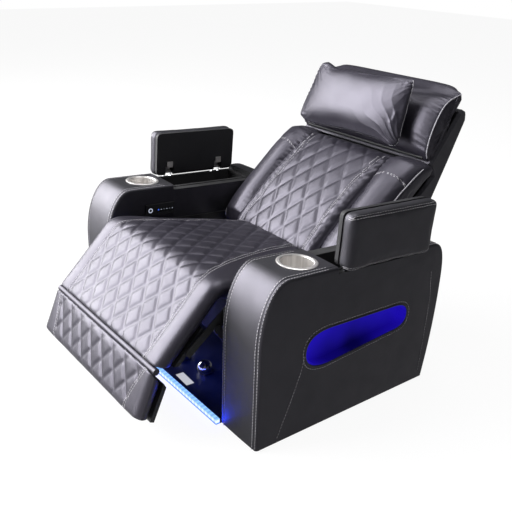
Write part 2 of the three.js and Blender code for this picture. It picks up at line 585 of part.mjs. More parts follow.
// Side plates on the arms carry the knee pins, the cross tubes, the deck and the recline pins
const plateOuter = INNER - CLEAR;
const plateInner = plateOuter - PLATE.thick;
const deckSlope = Math.atan2(SEAT.deckFrontZ - SEAT.deckRearZ, SEAT.deckRearY - SEAT.deckFrontY);
const deckUnder = (g) => g.rotateX(-deckSlope).translate(0, SEAT.deckFrontY, SEAT.deckFrontZ - CLEAR);
const deckLength = Math.hypot(SEAT.deckRearY - SEAT.deckFrontY, SEAT.deckFrontZ - SEAT.deckRearZ);
for (const { name, s } of SIDES) {
  const side = outline([
    [KNEE.y - PLATE.eye, KNEE.z - PLATE.eye], [KNEE.y - PLATE.eye, KNEE.z + PLATE.eye / 2],
    [KNEE.y, KNEE.z + PLATE.eye], [PIVOT.y, PIVOT.z + PLATE.eye], [PIVOT.y + PLATE.eye, PIVOT.z],
    [PIVOT.y, PIVOT.z - PLATE.waist], [REAR_TUBE.y + PLATE.eye, PLATE.bottom],
    [FRONT_TUBE.y - PLATE.eye, PLATE.bottom],
    [FRONT_TUBE.y - PLATE.eye, FRONT_TUBE.z + PLATE.eye],
  ]);
  const plateBody = join(
    plate(side, plateInner, plateOuter),
    deckUnder(block(SEAT.inner - SEAT.shelf, plateOuter, SEAT.shelf, deckLength - SEAT.shelf * 2,
      -SEAT.deckThick - CLEAR - PLATE.thick, -SEAT.deckThick - CLEAR)),
    bar(INNER - PLATE.thick * 5, plateOuter, KNEE.y, KNEE.z, KNEE.pin),
    bar(INNER - PLATE.thick * 5, plateOuter, PIVOT.y, PIVOT.z, PIVOT.pin),
  );
  const holes = [FRONT_TUBE, REAR_TUBE].map((t) => bar(plateInner - OVER, plateOuter + OVER, t.y, t.z,
    t.radius + CLEAR));
  const driveHole = bar(plateInner - OVER, plateOuter + OVER, DRIVE.y, DRIVE.z, DRIVE.tube + CLEAR);
  add(chair, `side_plate_${name}`, forSide(cut(plateBody, ...holes, driveHole), s), steel());
}
add(chair, 'front_cross_tube', bar(-plateOuter, plateOuter, FRONT_TUBE.y, FRONT_TUBE.z, FRONT_TUBE.radius),
  steel());
add(chair, 'rear_cross_tube', bar(-plateOuter, plateOuter, REAR_TUBE.y, REAR_TUBE.z, REAR_TUBE.radius),
  steel());

// Seat deck, apron and cushion
add(chair, 'seat_deck', deckUnder(block(-SEAT.inner, SEAT.inner, 0, deckLength - SEAT.shelf / 2,
  -SEAT.deckThick, 0)),
  board());
const apronHalf = SEAT.inner - SEAT.shelf - RUN;
const apronTop = SEAT.deckFrontZ - SEAT.deckThick - CLEAR * 4;
add(chair, 'seat_apron', plate(outline([
  [APRON.front, APRON.bottom], [APRON.front + APRON.thick, APRON.bottom],
  [APRON.front + APRON.thick, apronTop - APRON.thick * Math.tan(deckSlope)], [APRON.front, apronTop],
]), -apronHalf, apronHalf), leather());

const rowStep = QUILT.pitch / QUILT.cells;
const topPath = new THREE.SplineCurve([
  ...SEAT_LINE_SHARES.map(([y, z]) => new THREE.Vector2(KNEE.y + SEAT.depth * y, SEAT.height * z)),
  new THREE.Vector2(KNEE.y, KNEE.z + KNEE.radius),
]);
function seatStations() {
  const rows = [];
  const length = topPath.getLength();
  const count = Math.round(length / rowStep);
  for (let k = count; k >= 0; k--) {
    const share = 1 - k / count;
    const p = topPath.getPointAt(share);
    const inner = [SEAT.deckRearY - CLEAR, SEAT.deckRearZ + CLEAR];
    const front = [SEAT.deckFrontY, SEAT.deckFrontZ + CLEAR];
    rows.push({
      outer: [p.x, p.y], along: k * rowStep, row: k,
      inner: [THREE.MathUtils.lerp(inner[0], front[0], share),
      THREE.MathUtils.lerp(inner[1], front[1], share)],
    });
  }
  return rows;
}
function arcStations(turns, startRow, axis, outerRadius, innerRadius, from, direction) {
  return turns.map((turn, k) => {
    const a = from + direction * turn;
    return {
      outer: [axis.y + outerRadius * Math.cos(a), axis.z + outerRadius * Math.sin(a)],
      inner: [axis.y + innerRadius * Math.cos(a), axis.z + innerRadius * Math.sin(a)],
      along: -(k + 1) * rowStep, row: startRow - k - 1,
    };
  });
}
const noseTurn = rowStep / KNEE.radius;
const noseTurns = Array.from({ length: SEAT.noseRows }, (_, k) => (k + 1) * noseTurn);
const seatCushion = quiltedPad({
  stations: [...seatStations(), ...arcStations(noseTurns, 0, KNEE, KNEE.radius, KNEE.radius - SEAT.pad,
  Math.PI / 2, 1)],
  half: SEAT.half, innerHalf: SEAT.inner, quiltHalf: QUILT.half, columns: QUILT.columns, pitch: QUILT.pitch,
  border: SEAT.border, crown: SEAT.crown, ends: () => 0,
});
add(chair, 'seat_cushion', cut(seatCushion,
  bar(-SEAT.half - OVER, SEAT.half + OVER, PIVOT.y, PIVOT.z, BACK_SWEEP),
  bar(-SEAT.half - OVER, SEAT.half + OVER, KNEE.y, KNEE.z, KNEE.pin + RUN * 2)), leather());

// Footrest: the leg pad turns on the knee axis, the foot pad turns at the crease
const leg = new THREE.Group(); // origin on the knee axis, -y along the pad, +z out of its face
leg.position.set(0, KNEE.y, KNEE.z);
leg.rotation.x = LEG.slope;
chair.add(leg);
const creaseZ = KNEE.radius - FOOT.hingeDepth;
function straightStations(length, startAlong, startRow, outerZ, innerZ) {
  const rows = [];
  const count = Math.round(length / rowStep);
  for (let k = 0; k <= count; k++) {
    const y = -(k / count) * length;
    rows.push({ outer: [y, outerZ], inner: [y, innerZ], along: startAlong - k * rowStep,
      row: startRow - k });
  }
  return rows;
}
const edgeRound = (length, radius) => (along) => {
  const d = Math.min(Math.abs(along), Math.abs(length + along));
  return d < radius ? radius * 0.6 * (1 - Math.sqrt(1 - (1 - d / radius) ** 2)) : 0;
};
const legLength = Math.round(LEG.length / rowStep) * rowStep;
const legPad = quiltedPad({
  stations: straightStations(LEG.length, 0, 0, KNEE.radius, KNEE.radius - LEG.pad).slice(1),
  half: SEAT.half, innerHalf: SEAT.inner, quiltHalf: QUILT.half, columns: QUILT.columns, pitch: QUILT.pitch,
  border: SEAT.border, crown: SEAT.crown,
  ends: (along) => (along < -LEG.length / 2 ? edgeRound(legLength, FOOT.hingeDepth * 1.6)(along) : 0),
});
const halfWedge = THREE.MathUtils.degToRad(FOOT.wedge / 2);
// The pad's end is cut back on a slant below the crease axis, to leave room for the fold
function foldCut(sign) {
  const depth = LEG.pad + LEG.board + OVER;
  const back = depth * Math.tan(halfWedge);
  return plate(outline(sign > 0
    ? [[CLEAR * 2, 0], [back, -depth], [-OVER * 4, -depth], [-OVER * 4, 0]]
    : [[-CLEAR * 2, 0], [OVER * 4, 0], [OVER * 4, -depth], [-back, -depth]]), -SEAT.half - OVER,
      SEAT.half + OVER);
}
add(leg, 'leg_pad', cut(legPad,
  bar(-SEAT.half - OVER, SEAT.half + OVER, 0, 0, KNEE_SWEEP),
  foldCut(1).translate(0, -LEG.length, creaseZ)), leather());
const boardTop = KNEE.radius - LEG.pad - CLEAR;
const boardStart = -Math.sqrt(KNEE_SWEEP ** 2 - (KNEE.radius - LEG.pad) ** 2);
add(leg, 'leg_board', cut(block(-SEAT.inner, SEAT.inner, -LEG.length, boardStart, boardTop - LEG.board,
  boardTop),
  foldCut(1).translate(0, -LEG.length, creaseZ)), board());

const foot = new THREE.Group(); // origin on the crease axis
foot.position.set(0, -LEG.length, creaseZ);
foot.rotation.x = FOOT.slope - LEG.slope;
leg.add(foot);
const footPad = quiltedPad({
  stations: straightStations(FOOT.length, QUILT.pitch, 4, FOOT.hingeDepth, FOOT.hingeDepth - FOOT.pad),
  half: SEAT.half - RUN, innerHalf: SEAT.inner, quiltHalf: QUILT.half, columns: QUILT.columns,
  pitch: QUILT.pitch,
  border: SEAT.border, crown: SEAT.crown,
  ends: (along) => edgeRound(Math.round(FOOT.length / rowStep) * rowStep,
  FOOT.hingeDepth * 1.6)(along - QUILT.pitch),
});
add(foot, 'foot_pad', cut(footPad, foldCut(-1)), leather());
const footBoardTop = FOOT.hingeDepth - FOOT.pad - CLEAR;
add(foot, 'foot_board', cut(block(-SEAT.inner, SEAT.inner, -FOOT.length, 0, footBoardTop - FOOT.board,
  footBoardTop),
  foldCut(-1)), board());

// Footrest drive: a torque tube whose cranks push the leg brackets through equal links
const legLug = {
  y: DRIVE.crank * Math.cos(DRIVE.crankTurn - LEG.slope),
  z: DRIVE.crank * Math.sin(DRIVE.crankTurn - LEG.slope),
};
const bracketInner = SEAT.half + LEG.bracketGap;
const crankTip = {
  y: DRIVE.y + DRIVE.crank * Math.cos(DRIVE.crankTurn),
  z: DRIVE.z + DRIVE.crank * Math.sin(DRIVE.crankTurn),
};
const lugTip = {
  y: KNEE.y + DRIVE.crank * Math.cos(DRIVE.crankTurn), z: KNEE.z + DRIVE.crank * Math.sin(DRIVE.crankTurn),
};
const origin = { y: 0, z: 0 };
const pinEnd = bracketInner + LEG.bracket + CLEAR + DRIVE.link; // the pins end flush with the links' outer faces
for (const { name, s } of SIDES) {
  const boardEdge = { y: boardStart - LEG.length * 0.3, z: boardTop - LEG.board / 2 };
  const bracket = cut(
    join(
      plate(strap(origin, legLug, DRIVE.bar), bracketInner, bracketInner + LEG.bracket),
      plate(strap(origin, boardEdge, DRIVE.bar), bracketInner, bracketInner + LEG.bracket),
      bar(bracketInner, pinEnd, legLug.y, legLug.z, DRIVE.pin),
      block(SEAT.inner - DRIVE.bar, bracketInner + LEG.bracket, boardEdge.y - DRIVE.bar / 2,
        boardEdge.y + DRIVE.bar / 2,
        boardTop - LEG.board - CLEAR - LEG.bracket, boardTop - LEG.board - CLEAR),
    ),
    bar(0, INNER, 0, 0, KNEE.pin + CLEAR * 2),
  );
  add(leg, `leg_bracket_${name}`, forSide(bracket, s), steel());
  const linkInner = bracketInner + LEG.bracket + CLEAR;
  const link = cut(
    plate(strap(crankTip, lugTip, DRIVE.bar), linkInner, linkInner + DRIVE.link),
    ...[crankTip, lugTip].map((end) => bar(0, INNER, end.y, end.z, DRIVE.pin + DRIVE.pinGap)),
  );
  add(chair, `footrest_link_${name}`, forSide(link, s), steel());
}
const driveLug = {
  y: DRIVE.y + DRIVE.lug * Math.cos(DRIVE.lugTurn), z: DRIVE.z + DRIVE.lug * Math.sin(DRIVE.lugTurn),
};
const lugStart = ACTUATOR.place + ACTUATOR.rod + CLEAR; // beside the rod's eye
const crank = (s) => forSide(join(
  plate(strap(DRIVE, crankTip, DRIVE.bar), bracketInner, bracketInner + LEG.bracket),
  bar(bracketInner, pinEnd, crankTip.y, crankTip.z, DRIVE.pin),
), s);
add(chair, 'drive_tube', join(bar(-plateOuter, plateOuter, DRIVE.y, DRIVE.z, DRIVE.tube), crank(1),
  crank(-1),
  plate(strap(DRIVE, driveLug, DRIVE.bar), -lugStart - ACTUATOR.lugThick, -lugStart)), steel());

// Back: everything on it is drawn along the back, from the recline axis up
const back = new THREE.Group();
back.position.set(0, PIVOT.y, PIVOT.z);
back.rotation.x = -BACK.tilt;
chair.add(back);
const frameRear = BACK.frameY + BACK.frameThick;
const lugLocal = { y: BACK.lugY, z: BACK.lugZ };
const lugRoot = { y: (BACK.frameY + frameRear) / 2 - CLEAR, z: BACK.frameBottom + BACK.frameRail / 2 };
const shellAt = ([y, z]) => [SHELL.depth * y, SHELL.height * z];
const shellOutline = outline([
  [frameRear, SHELL.frontBottom], ...SHELL_LINE_SHARES.map(shellAt), [frameRear, SHELL.frontTop],
]);
const shell = cut(
  plate(shellOutline, -SHELL.half, SHELL.half, SHELL.edge, 1),
  plate(outline([
    [frameRear - OVER, BACK.frameBottom], ...HOLLOW_LINE_SHARES.map(shellAt),
    [frameRear - OVER, BACK.frameTop],
  ]), -SHELL.half + SHELL.wall, SHELL.half - SHELL.wall),
  plate(strap(lugRoot, lugLocal, BACK.frameThick + 2 * RUN), lugStart - RUN,
  lugStart + ACTUATOR.lugThick + RUN),
);
add(back, 'back_shell', shell, armLeather());

const backBracketInner = SEAT.half + LEG.bracketGap;
const windowOf = block(-BACK.frameHalf + BACK.frameRail, BACK.frameHalf - BACK.frameRail, -BASE.depth,
  BASE.depth,
  BACK.frameBottom + BACK.frameRail, BACK.frameTop - BACK.frameRail);
let backFrame = cut(
  block(-BACK.frameHalf, BACK.frameHalf, BACK.frameY, frameRear - CLEAR, BACK.frameBottom, BACK.frameTop),
  windowOf,
);
for (const { s } of SIDES) {
  const footPlate = plate(strap(origin, { y: BACK.frameY + BACK.frameThick / 2,
    z: BACK.frameBottom + BACK.frameRail },
    DRIVE.bar * 1.4), backBracketInner, backBracketInner + BACK.bracket);
  backFrame = join(backFrame, forSide(cut(footPlate, bar(0, INNER, 0, 0, PIVOT.pin + CLEAR * 2)), s));
  backFrame = join(backFrame, forSide(block(BACK.frameHalf - OVER, backBracketInner + BACK.bracket,
    BACK.frameY,
    frameRear - CLEAR, BACK.frameBottom + BACK.frameRail / 2, BACK.frameBottom + BACK.frameRail), s));
}
backFrame = join(backFrame,
  plate(strap(lugRoot, lugLocal, BACK.frameThick), lugStart, lugStart + ACTUATOR.lugThick));
add(back, 'back_frame', backFrame, steel());
const reclineLug = {
  y: PIVOT.y + lugLocal.y * Math.cos(BACK.tilt) + lugLocal.z * Math.sin(BACK.tilt),
  z: PIVOT.z - lugLocal.y * Math.sin(BACK.tilt) + lugLocal.z * Math.cos(BACK.tilt),
};

// Quilted centre panel, its lower end a round knuckle about the recline axis
const panelStep = QUILT.backPitch / QUILT.cells;
const padBack = BACK.frameY - CLEAR;
const panelFace = new THREE.SplineCurve(
  PANEL_LINE_SHARES.map(([y, z]) => new THREE.Vector2(-BACK.knuckle * y, BACK.panelTop * z)),
);
const panelCount = Math.round(panelFace.getLength() / panelStep);
const panelRows = [];
for (let k = panelCount; k >= 0; k--) {
  const p = panelFace.getPointAt(1 - k / panelCount);
  panelRows.push({ outer: [p.x, p.y], inner: [padBack, p.y], along: k * panelStep, row: k });
}
for (let k = 1; k <= BACK.knuckleRows; k++) {
  const a = Math.PI + k * (panelStep / BACK.knuckle);
  const reach = (radius) => [radius * Math.cos(a), radius * Math.sin(a)];
  panelRows.push({
    outer: reach(BACK.knuckle), inner: reach(BACK.knuckle * BACK.knuckleCore), along: -k * panelStep,
    row: -k,
  });
}
add(back, 'back_panel', quiltedPad({
  stations: panelRows,
  half: BACK.panelHalf, innerHalf: BACK.panelHalf - BACK.panelSeam / 2,
  quiltHalf: BACK.panelHalf - BACK.panelSeam,
  columns: QUILT.backColumns, pitch: QUILT.backPitch, border: BACK.panelBorder, crown: BACK.crown,
  ends: (along) => (along > QUILT.backPitch ? edgeRound(panelCount * panelStep, BACK.panelRound)(-along)
  : 0),
}), leather());

// Bolsters beside the panel
for (const { name, s } of SIDES) {
  const { columns, rows, tuck } = BOLSTER;
  const bolster = gridSolid(columns, rows, (i, j, front) => {
    const u = i / columns;
    const v = j / rows;
    const x = THREE.MathUtils.lerp(BACK.panelHalf + CLEAR * 2, BOLSTER.half - (front ? 0 : BOLSTER.sideIn),
      u);
    const z = THREE.MathUtils.lerp(BOLSTER.bottom, BOLSTER.top, v);
    if (!front) return [x, padBack, THREE.MathUtils.lerp(BOLSTER.bottom + tuck, BOLSTER.top - tuck, v)];
    const roll = Math.sqrt(Math.max(0, 1 - Math.abs(2 * v - 1) ** BOLSTER_SHARES.roll));
    const face = BOLSTER.face - BOLSTER.fall * u ** BOLSTER_SHARES.fall + BOLSTER.rise * Math.sin(Math.PI * u);
    const depth = (face - BOLSTER.side) * THREE.MathUtils.lerp(BOLSTER_SHARES.end, 1, roll);
    return [x, padBack - BOLSTER.seat - depth * (u > BOLSTER_SHARES.lip ? BOLSTER_SHARES.lipFace : 1), z];
  });
  add(back, `back_bolster_${name}`, forSide(bolster, s), leather());
}

// Headrest on its own hinge, and the pillow that hangs over it
const head = new THREE.Group();
head.position.set(0, HEAD.y, HEAD.z);
head.rotation.x = HEAD.lean;
back.add(head);
add(back, 'headrest_bar', bar(-HEAD.half + OVER * 4, HEAD.half - OVER * 4, HEAD.y, HEAD.z, HEAD.bar),
  steel());
const headBlock = stuffed({
  half: HEAD.half, height: HEAD.height, front: HEAD.front, back: HEAD.edge / 2, pull: HEAD.pull,
  edge: HEAD.edge,
  power: HEAD.power,
}).translate(0, -HEAD.seat, -HEAD.below);
// Its lower rear edge is cut back to clear the shell as it nods
const nodCuts = [HEAD.nod / 2, HEAD.nod].map((turn) => (
  plate(shellOutline, -HEAD.half - OVER, HEAD.half + OVER).translate(0, -HEAD.y,
    -HEAD.z).rotateX(-HEAD.lean - turn)
));
add(head, 'headrest_pad', cut(headBlock, bar(-HEAD.half, HEAD.half, 0, 0, HEAD.bar + CLEAR * 2),
  ...nodCuts), leather());

const pillow = new THREE.Group();
pillow.position.set(0, PILLOW.y, PILLOW.z);
pillow.rotation.x = PILLOW.lean;
head.add(pillow);
add(pillow, 'pillow', stuffed({
  half: PILLOW.half, height: PILLOW.height, front: PILLOW.front, back: PILLOW.back, pull: PILLOW.pull,
  edge: PILLOW.edge,
  power: PILLOW.power,
}).translate(0, 0, -PILLOW.height), leather());

// Control panel on the inner face of the right arm
const panel = new THREE.Group();
panel.position.set(-INNER, PANEL.fromFront, PANEL.bottom);
panel.rotation.x = -PANEL.slope;
chair.add(panel);
const keyPitch = (PANEL.length - KEY.round - KEY.roundGap - KEY.margin * 2) / (KEY.count - 1);
const keyPlaces = Array.from({ length: KEY.count },
  (_, k) => KEY.margin + KEY.round + KEY.roundGap + k * keyPitch);
const keyBase = PANEL.thick / 2;
let bezel = block(CLEAR, PANEL.thick, 0, PANEL.length, 0, PANEL.height);
const keyPocket = (y, radius) => bar(keyBase, PANEL.thick + OVER, y, PANEL.height / 2, radius + KEY.gap);
bezel = cut(bezel, keyPocket(KEY.round / 2 + KEY.margin / 2, KEY.round / 2),
  ...keyPlaces.map((y) => keyPocket(y, KEY.size / 2)));
add(panel, 'control_bezel', bezel, plastic());
const keyBody = (y, radius) => bar(keyBase + KEY.proud + CLEAR, PANEL.thick + KEY.proud, y,
  PANEL.height / 2, radius);
add(panel, 'power_button', keyBody(KEY.round / 2 + KEY.margin / 2, KEY.round / 2), keyLight());
keyPlaces.forEach((y, k) => add(panel, `control_key_${k + 1}`, keyBody(y, KEY.size / 2), keyLight()));

// Motors: a housing across the frame with a screw tube and a sliding rod
function actuator(name, from, to, x) {
  const length = Math.hypot(to.y - from.y, to.z - from.z);
  const turn = Math.atan2(to.z - from.z, to.y - from.y);
  const group = new THREE.Group();
  group.position.set(x, from.y, from.z);
  group.rotation.x = turn;
  chair.add(group);
  const tubeEnd = length - ACTUATOR.rodOut;
  const along = (radius, y0, y1, z = 0, divisions = FACETS) => new THREE.CylinderGeometry(radius, radius,
    y1 - y0, divisions)
    .translate(0, (y0 + y1) / 2, z);
  const housing = cut(
    join(
      along(ACTUATOR.tube, 0, tubeEnd),
      along(ACTUATOR.motor, OVER * 2, ACTUATOR.motorLength, -ACTUATOR.motor - ACTUATOR.tube / 2),
    ),
    along(ACTUATOR.rod + CLEAR, OVER * 4, tubeEnd + OVER),
  );
  add(group, `${name}_motor`, housing, plastic());
  const rod = join(
    along(ACTUATOR.rod, tubeEnd - ACTUATOR.rodOut, length - ACTUATOR.eye),
    block(-ACTUATOR.eyeThick / 2, ACTUATOR.eyeThick / 2, length - ACTUATOR.eye * 2, length, -ACTUATOR.eye,
    ACTUATOR.eye),
  );
  add(group, `${name}_rod`, rod, chrome());
}
actuator('footrest', { y: REAR_TUBE.y - REAR_TUBE.radius - CLEAR * 2, z: REAR_TUBE.z }, driveLug,
  -ACTUATOR.place);
actuator('recline', { y: FRONT_TUBE.y + FRONT_TUBE.radius + CLEAR, z: FRONT_TUBE.z }, reclineLug,
  ACTUATOR.place);

export default recliner;
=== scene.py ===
from collections import namedtuple
from math import atan2, cos, exp, hypot, pi, radians, sin, sqrt, tan

import bmesh
import bpy
from mathutils import Matrix, Vector
from mathutils.bvhtree import BVHTree
from mathutils.kdtree import KDTree


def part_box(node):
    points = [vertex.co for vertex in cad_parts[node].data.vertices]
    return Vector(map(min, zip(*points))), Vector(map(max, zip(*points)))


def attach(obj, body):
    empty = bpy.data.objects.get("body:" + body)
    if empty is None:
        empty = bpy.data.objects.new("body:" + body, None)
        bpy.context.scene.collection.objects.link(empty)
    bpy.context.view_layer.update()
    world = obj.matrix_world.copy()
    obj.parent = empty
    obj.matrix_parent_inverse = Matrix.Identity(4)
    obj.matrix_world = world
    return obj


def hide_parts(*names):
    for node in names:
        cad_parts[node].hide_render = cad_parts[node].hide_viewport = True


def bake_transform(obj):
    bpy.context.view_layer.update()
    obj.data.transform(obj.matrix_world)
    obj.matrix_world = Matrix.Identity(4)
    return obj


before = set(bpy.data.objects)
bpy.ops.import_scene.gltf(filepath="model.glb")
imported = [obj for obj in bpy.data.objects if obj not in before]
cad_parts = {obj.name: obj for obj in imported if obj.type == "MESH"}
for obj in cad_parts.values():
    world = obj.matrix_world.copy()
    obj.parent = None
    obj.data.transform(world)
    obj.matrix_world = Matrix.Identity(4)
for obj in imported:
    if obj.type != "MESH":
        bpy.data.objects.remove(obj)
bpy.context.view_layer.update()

bl_info = {
    "name": "Cinema Recliner Dressing",
    "version": (1, 0, 0),
    "blender": (4, 5, 0),
    "location": "3D View > Sidebar > Recliner",
    "description": "Leather, quilting, stitching, lights and a plain studio for the packed cinema recliner",
    "category": "Object",
}

# Side-on frames of the chair, in millimetres: x across, y back, z up, each hung from the one before it
MM = 0.001
BASE_DEPTH, BASE_LIFT = 633, 5
KNEE_Y, KNEE_Z, KNEE_RADIUS = 30, 330, 75
LEG_LENGTH, CREASE_RISE, LEG_SLOPE, FOOT_SLOPE = 234, 63, 46, 67
PIVOT_Y, PIVOT_Z, BACK_TILT = 505, 300, 48
HEAD_Y, HEAD_Z, HEAD_LEAN = -48, 412, 11
PILLOW_Y, PILLOW_Z, PILLOW_LEAN = -139, 166, 20.5


def hang(parent, y, z, degrees):
    return parent @ Matrix.Translation((0, y, z)) @ Matrix.Rotation(radians(degrees), 4, "X")


CHAIR = Matrix.Scale(MM, 4) @ Matrix.Translation((0, -BASE_DEPTH / 2, BASE_LIFT))
LEG = hang(CHAIR, KNEE_Y, KNEE_Z, LEG_SLOPE)
FOOT = hang(LEG, -LEG_LENGTH, CREASE_RISE, FOOT_SLOPE - LEG_SLOPE)
BACK = hang(CHAIR, PIVOT_Y, PIVOT_Z, -BACK_TILT)
HEAD = hang(BACK, HEAD_Y, HEAD_Z, HEAD_LEAN)
PILLOW = hang(HEAD, PILLOW_Y, PILLOW_Z, PILLOW_LEAN)

HALF_WIDTH, ARM_WIDTH = 475, 157
INNER = HALF_WIDTH - ARM_WIDTH
ARM_MIDDLE = HALF_WIDTH - ARM_WIDTH / 2
ARM_HEIGHT, ARM_SLOPE, NOSE_DEPTH, NOSE_HEIGHT = 464, 3, 87, 183
TOP_END, BULGE_OUT, BULGE_HEIGHT = 581, 31, 329
RIM_START, RIM_LENGTH, RIM_STEP = 245, 334, 17
SIDES = (("left", 1), ("right", -1))
QUILT_HALF, QUILT_PITCH, QUILT_COLUMNS = 230, 88, 7
CELL = 12  # mesh steps across one diamond

# In metres: the distance at which points are merged, in new meshes and in copies of CAD nodes
WELD, NODE_WELD = 2e-5, 1e-5
# Leather as a cloth simulation sees it, and how many frames it is blown for
LEATHER_CLOTH = {
    "quality": 5, "mass": 0.25, "tension_stiffness": 25, "compression_stiffness": 25, "shear_stiffness": 10,
    "bending_stiffness": 0.4, "use_pressure": True,
}
INFLATE_FRAMES = 20
RELAX_PASSES, RELAX_FACTOR = 3, 0.5
# In metres: how far a line may lie from the surface that it is laid on, and the step along laid piping
LAY_REACH, PIPING_STEP = 0.06, 0.005
PIPING_LIFT = 0.4  # share of its radius that piping stands off the surface


# Mesh helpers
def piece(name, bm, *materials, smooth=True):
    bmesh.ops.recalc_face_normals(bm, faces=bm.faces)
    mesh = bpy.data.meshes.new(name)
    bm.to_mesh(mesh)
    bm.free()
    mesh.polygons.foreach_set("use_smooth", [smooth] * len(mesh.polygons))
    for material in materials:
        mesh.materials.append(material)
    obj = bpy.data.objects.new(name, mesh)
    bpy.context.scene.collection.objects.link(obj)
    return obj


def settle(obj):
    """Applies a piece's modifiers to its mesh."""
    graph = bpy.context.evaluated_depsgraph_get()
    mesh = bpy.data.meshes.new_from_object(
        obj.evaluated_get(graph), preserve_all_data_layers=True, depsgraph=graph)
    obj.modifiers.clear()
    old, obj.data = obj.data, mesh
    bpy.data.meshes.remove(old)
    mesh.name = obj.name
    return obj


def refine(obj):
    sub = obj.modifiers.new("Subdivision", "SUBSURF")
    sub.levels = sub.render_levels = 1
    return settle(obj)


def skin(columns, rows, place, pinned):
    """A closed body from a grid whose long edges meet.

    place(a, s) gives each point, and pinned(a, s) says which points a seam holds.
    """
    bm = bmesh.new()
    bmesh.ops.create_grid(bm, x_segments=columns, y_segments=rows, size=1)
    held = bm.verts.layers.float.new("held")
    for v in bm.verts:
        a, s = (v.co.x + 1) / 2, (v.co.y + 1) / 2
        v[held] = 1.0 if pinned(a, s) else 0.0
        v.co = place(a, s)
    bmesh.ops.remove_doubles(bm, verts=bm.verts, dist=WELD)
    rims = [e for e in bm.edges if e.is_boundary]
    if rims:
        bmesh.ops.holes_fill(bm, edges=rims, sides=0)
    return bm


def from_node(node):
    """A merged copy of a CAD solid's mesh to work from."""
    bm = bmesh.new()
    bm.from_mesh(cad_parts[node].data)
    bmesh.ops.remove_doubles(bm, verts=bm.verts, dist=NODE_WELD)
    return bm


def inflate(obj, pressure, cap):
    """Blows the leather out between its seams with a cloth simulation, each point moving by `cap` at most"""
    mesh = obj.data
    rest = [v.co.copy() for v in mesh.vertices]
    held = mesh.attributes["held"].data if "held" in mesh.attributes else None
    group = obj.vertex_groups.new(name="seams")
    if held:
        group.add([i for i, d in enumerate(held) if d.value > 0.5], 1.0, "REPLACE")
    cloth = obj.modifiers.new("Cloth", "CLOTH")
    settings = cloth.settings
    for key, value in LEATHER_CLOTH.items():
        setattr(settings, key, value)
    settings.uniform_pressure_force = pressure
    settings.effector_weights.gravity = 0
    if held:
        settings.vertex_group_mass = "seams"
    cloth.collision_settings.use_collision = False
    cloth.point_cache.frame_start, cloth.point_cache.frame_end = 1, INFLATE_FRAMES
    scene = bpy.context.scene
    for i in range(1, INFLATE_FRAMES + 1):
        scene.frame_set(i)
    graph = bpy.context.evaluated_depsgraph_get()
    moved = obj.evaluated_get(graph).data
    for i, v in enumerate(moved.vertices):
        step = v.co - rest[i]
        if step.length > cap:
            step *= cap / step.length
        mesh.vertices[i].co = rest[i] + step
    obj.modifiers.clear()
    obj.vertex_groups.clear()
    scene.frame_set(1)
    mesh.update()


def remesh(obj, size):
    step = obj.modifiers.new("Remesh", "REMESH")
    step.mode = "VOXEL"
    step.voxel_size = size
    step.use_smooth_shade = True
    return settle(obj)


def relax(obj):
    bm = bmesh.new()
    bm.from_mesh(obj.data)
    for _ in range(RELAX_PASSES):
        bmesh.ops.smooth_vert(
            bm, verts=bm.verts, factor=RELAX_FACTOR, use_axis_x=True, use_axis_y=True, use_axis_z=True)
    bm.to_mesh(obj.data)
    bm.free()


def resample(points, pitch, closed=False):
    """Even steps along a line of points"""
    line = list(points) + ([points[0]] if closed else [])
    lengths = [0.0]
    for a, b in zip(line, line[1:]):
        lengths.append(lengths[-1] + (b - a).length)
    count = max(1, round(lengths[-1] / pitch))
    out, k = [], 0
    for i in range(count + (0 if closed else 1)):
        d = lengths[-1] * i / count
        while k < len(line) - 2 and lengths[k + 1] < d:
            k += 1
        span = max(lengths[k + 1] - lengths[k], 1e-9)
        out.append(line[k].lerp(line[k + 1], (d - lengths[k]) / span))
    return out


def press(obj, lines, width, depth):
    """Pulls the surface in along sewn lines"""
    points = [p for line in lines for p in resample(line, width / 3)]
    tree = KDTree(len(points))
    for i, p in enumerate(points):
        tree.insert(p, i)
    tree.balance()
    mesh = obj.data
    normals = [v.normal.copy() for v in mesh.vertices]
    for v, n in zip(mesh.vertices, normals):
        d = tree.find(v.co)[2]
        if d < width * 2.5:
            v.co -= n * depth * exp(-((d / width) ** 2))
    mesh.update()


def emboss(obj, frame_of, relief):
    """Raises or sinks the surface: relief(place, normal) gives millimetres, both in the piece's own frame."""
    inverse = frame_of.inverted()
    turn = inverse.to_3x3().normalized()
    mesh = obj.data
    normals = [v.normal.copy() for v in mesh.vertices]
    for v, n in zip(mesh.vertices, normals):
        v.co += n * relief(inverse @ v.co, turn @ n) * MM
    mesh.update()


def surface_of(obj):
    return BVHTree.FromObject(obj, bpy.context.evaluated_depsgraph_get())


def lay(tree, line, pitch, lift, closed=False):
    """Lays a line on the surface, at even steps: (place, normal, direction) for each step"""
    placed = []
    for p in resample(line, pitch, closed):
        hit = tree.find_nearest(p, LAY_REACH)
        if hit[0] is not None:
            placed.append((hit[0] + hit[1] * lift, hit[1]))
    out = []
    for i, (p, n) in enumerate(placed):
        a = placed[max(i - 1, 0)][0]
        b = placed[min(i + 1, len(placed) - 1)][0]
        t = b - a
        t -= n * t.dot(n)
        if t.length > 1e-7:
            out.append((p, n, t.normalized()))
    return out


def thread(bm, tree, line, closed=False):
    """A row of stitches"""
    look = looks()
    size = (look.stitch_length * 0.62, look.thread_width, look.thread_width * 0.6)
    for p, n, t in lay(tree, line, look.stitch_length, size[2] * 0.2, closed):
        side = n.cross(t)
        turn = Matrix((t * size[0], side * size[1], n * size[2])).transposed().to_4x4()
        bmesh.ops.create_cube(bm, size=1, matrix=Matrix.Translation(p) @ turn)


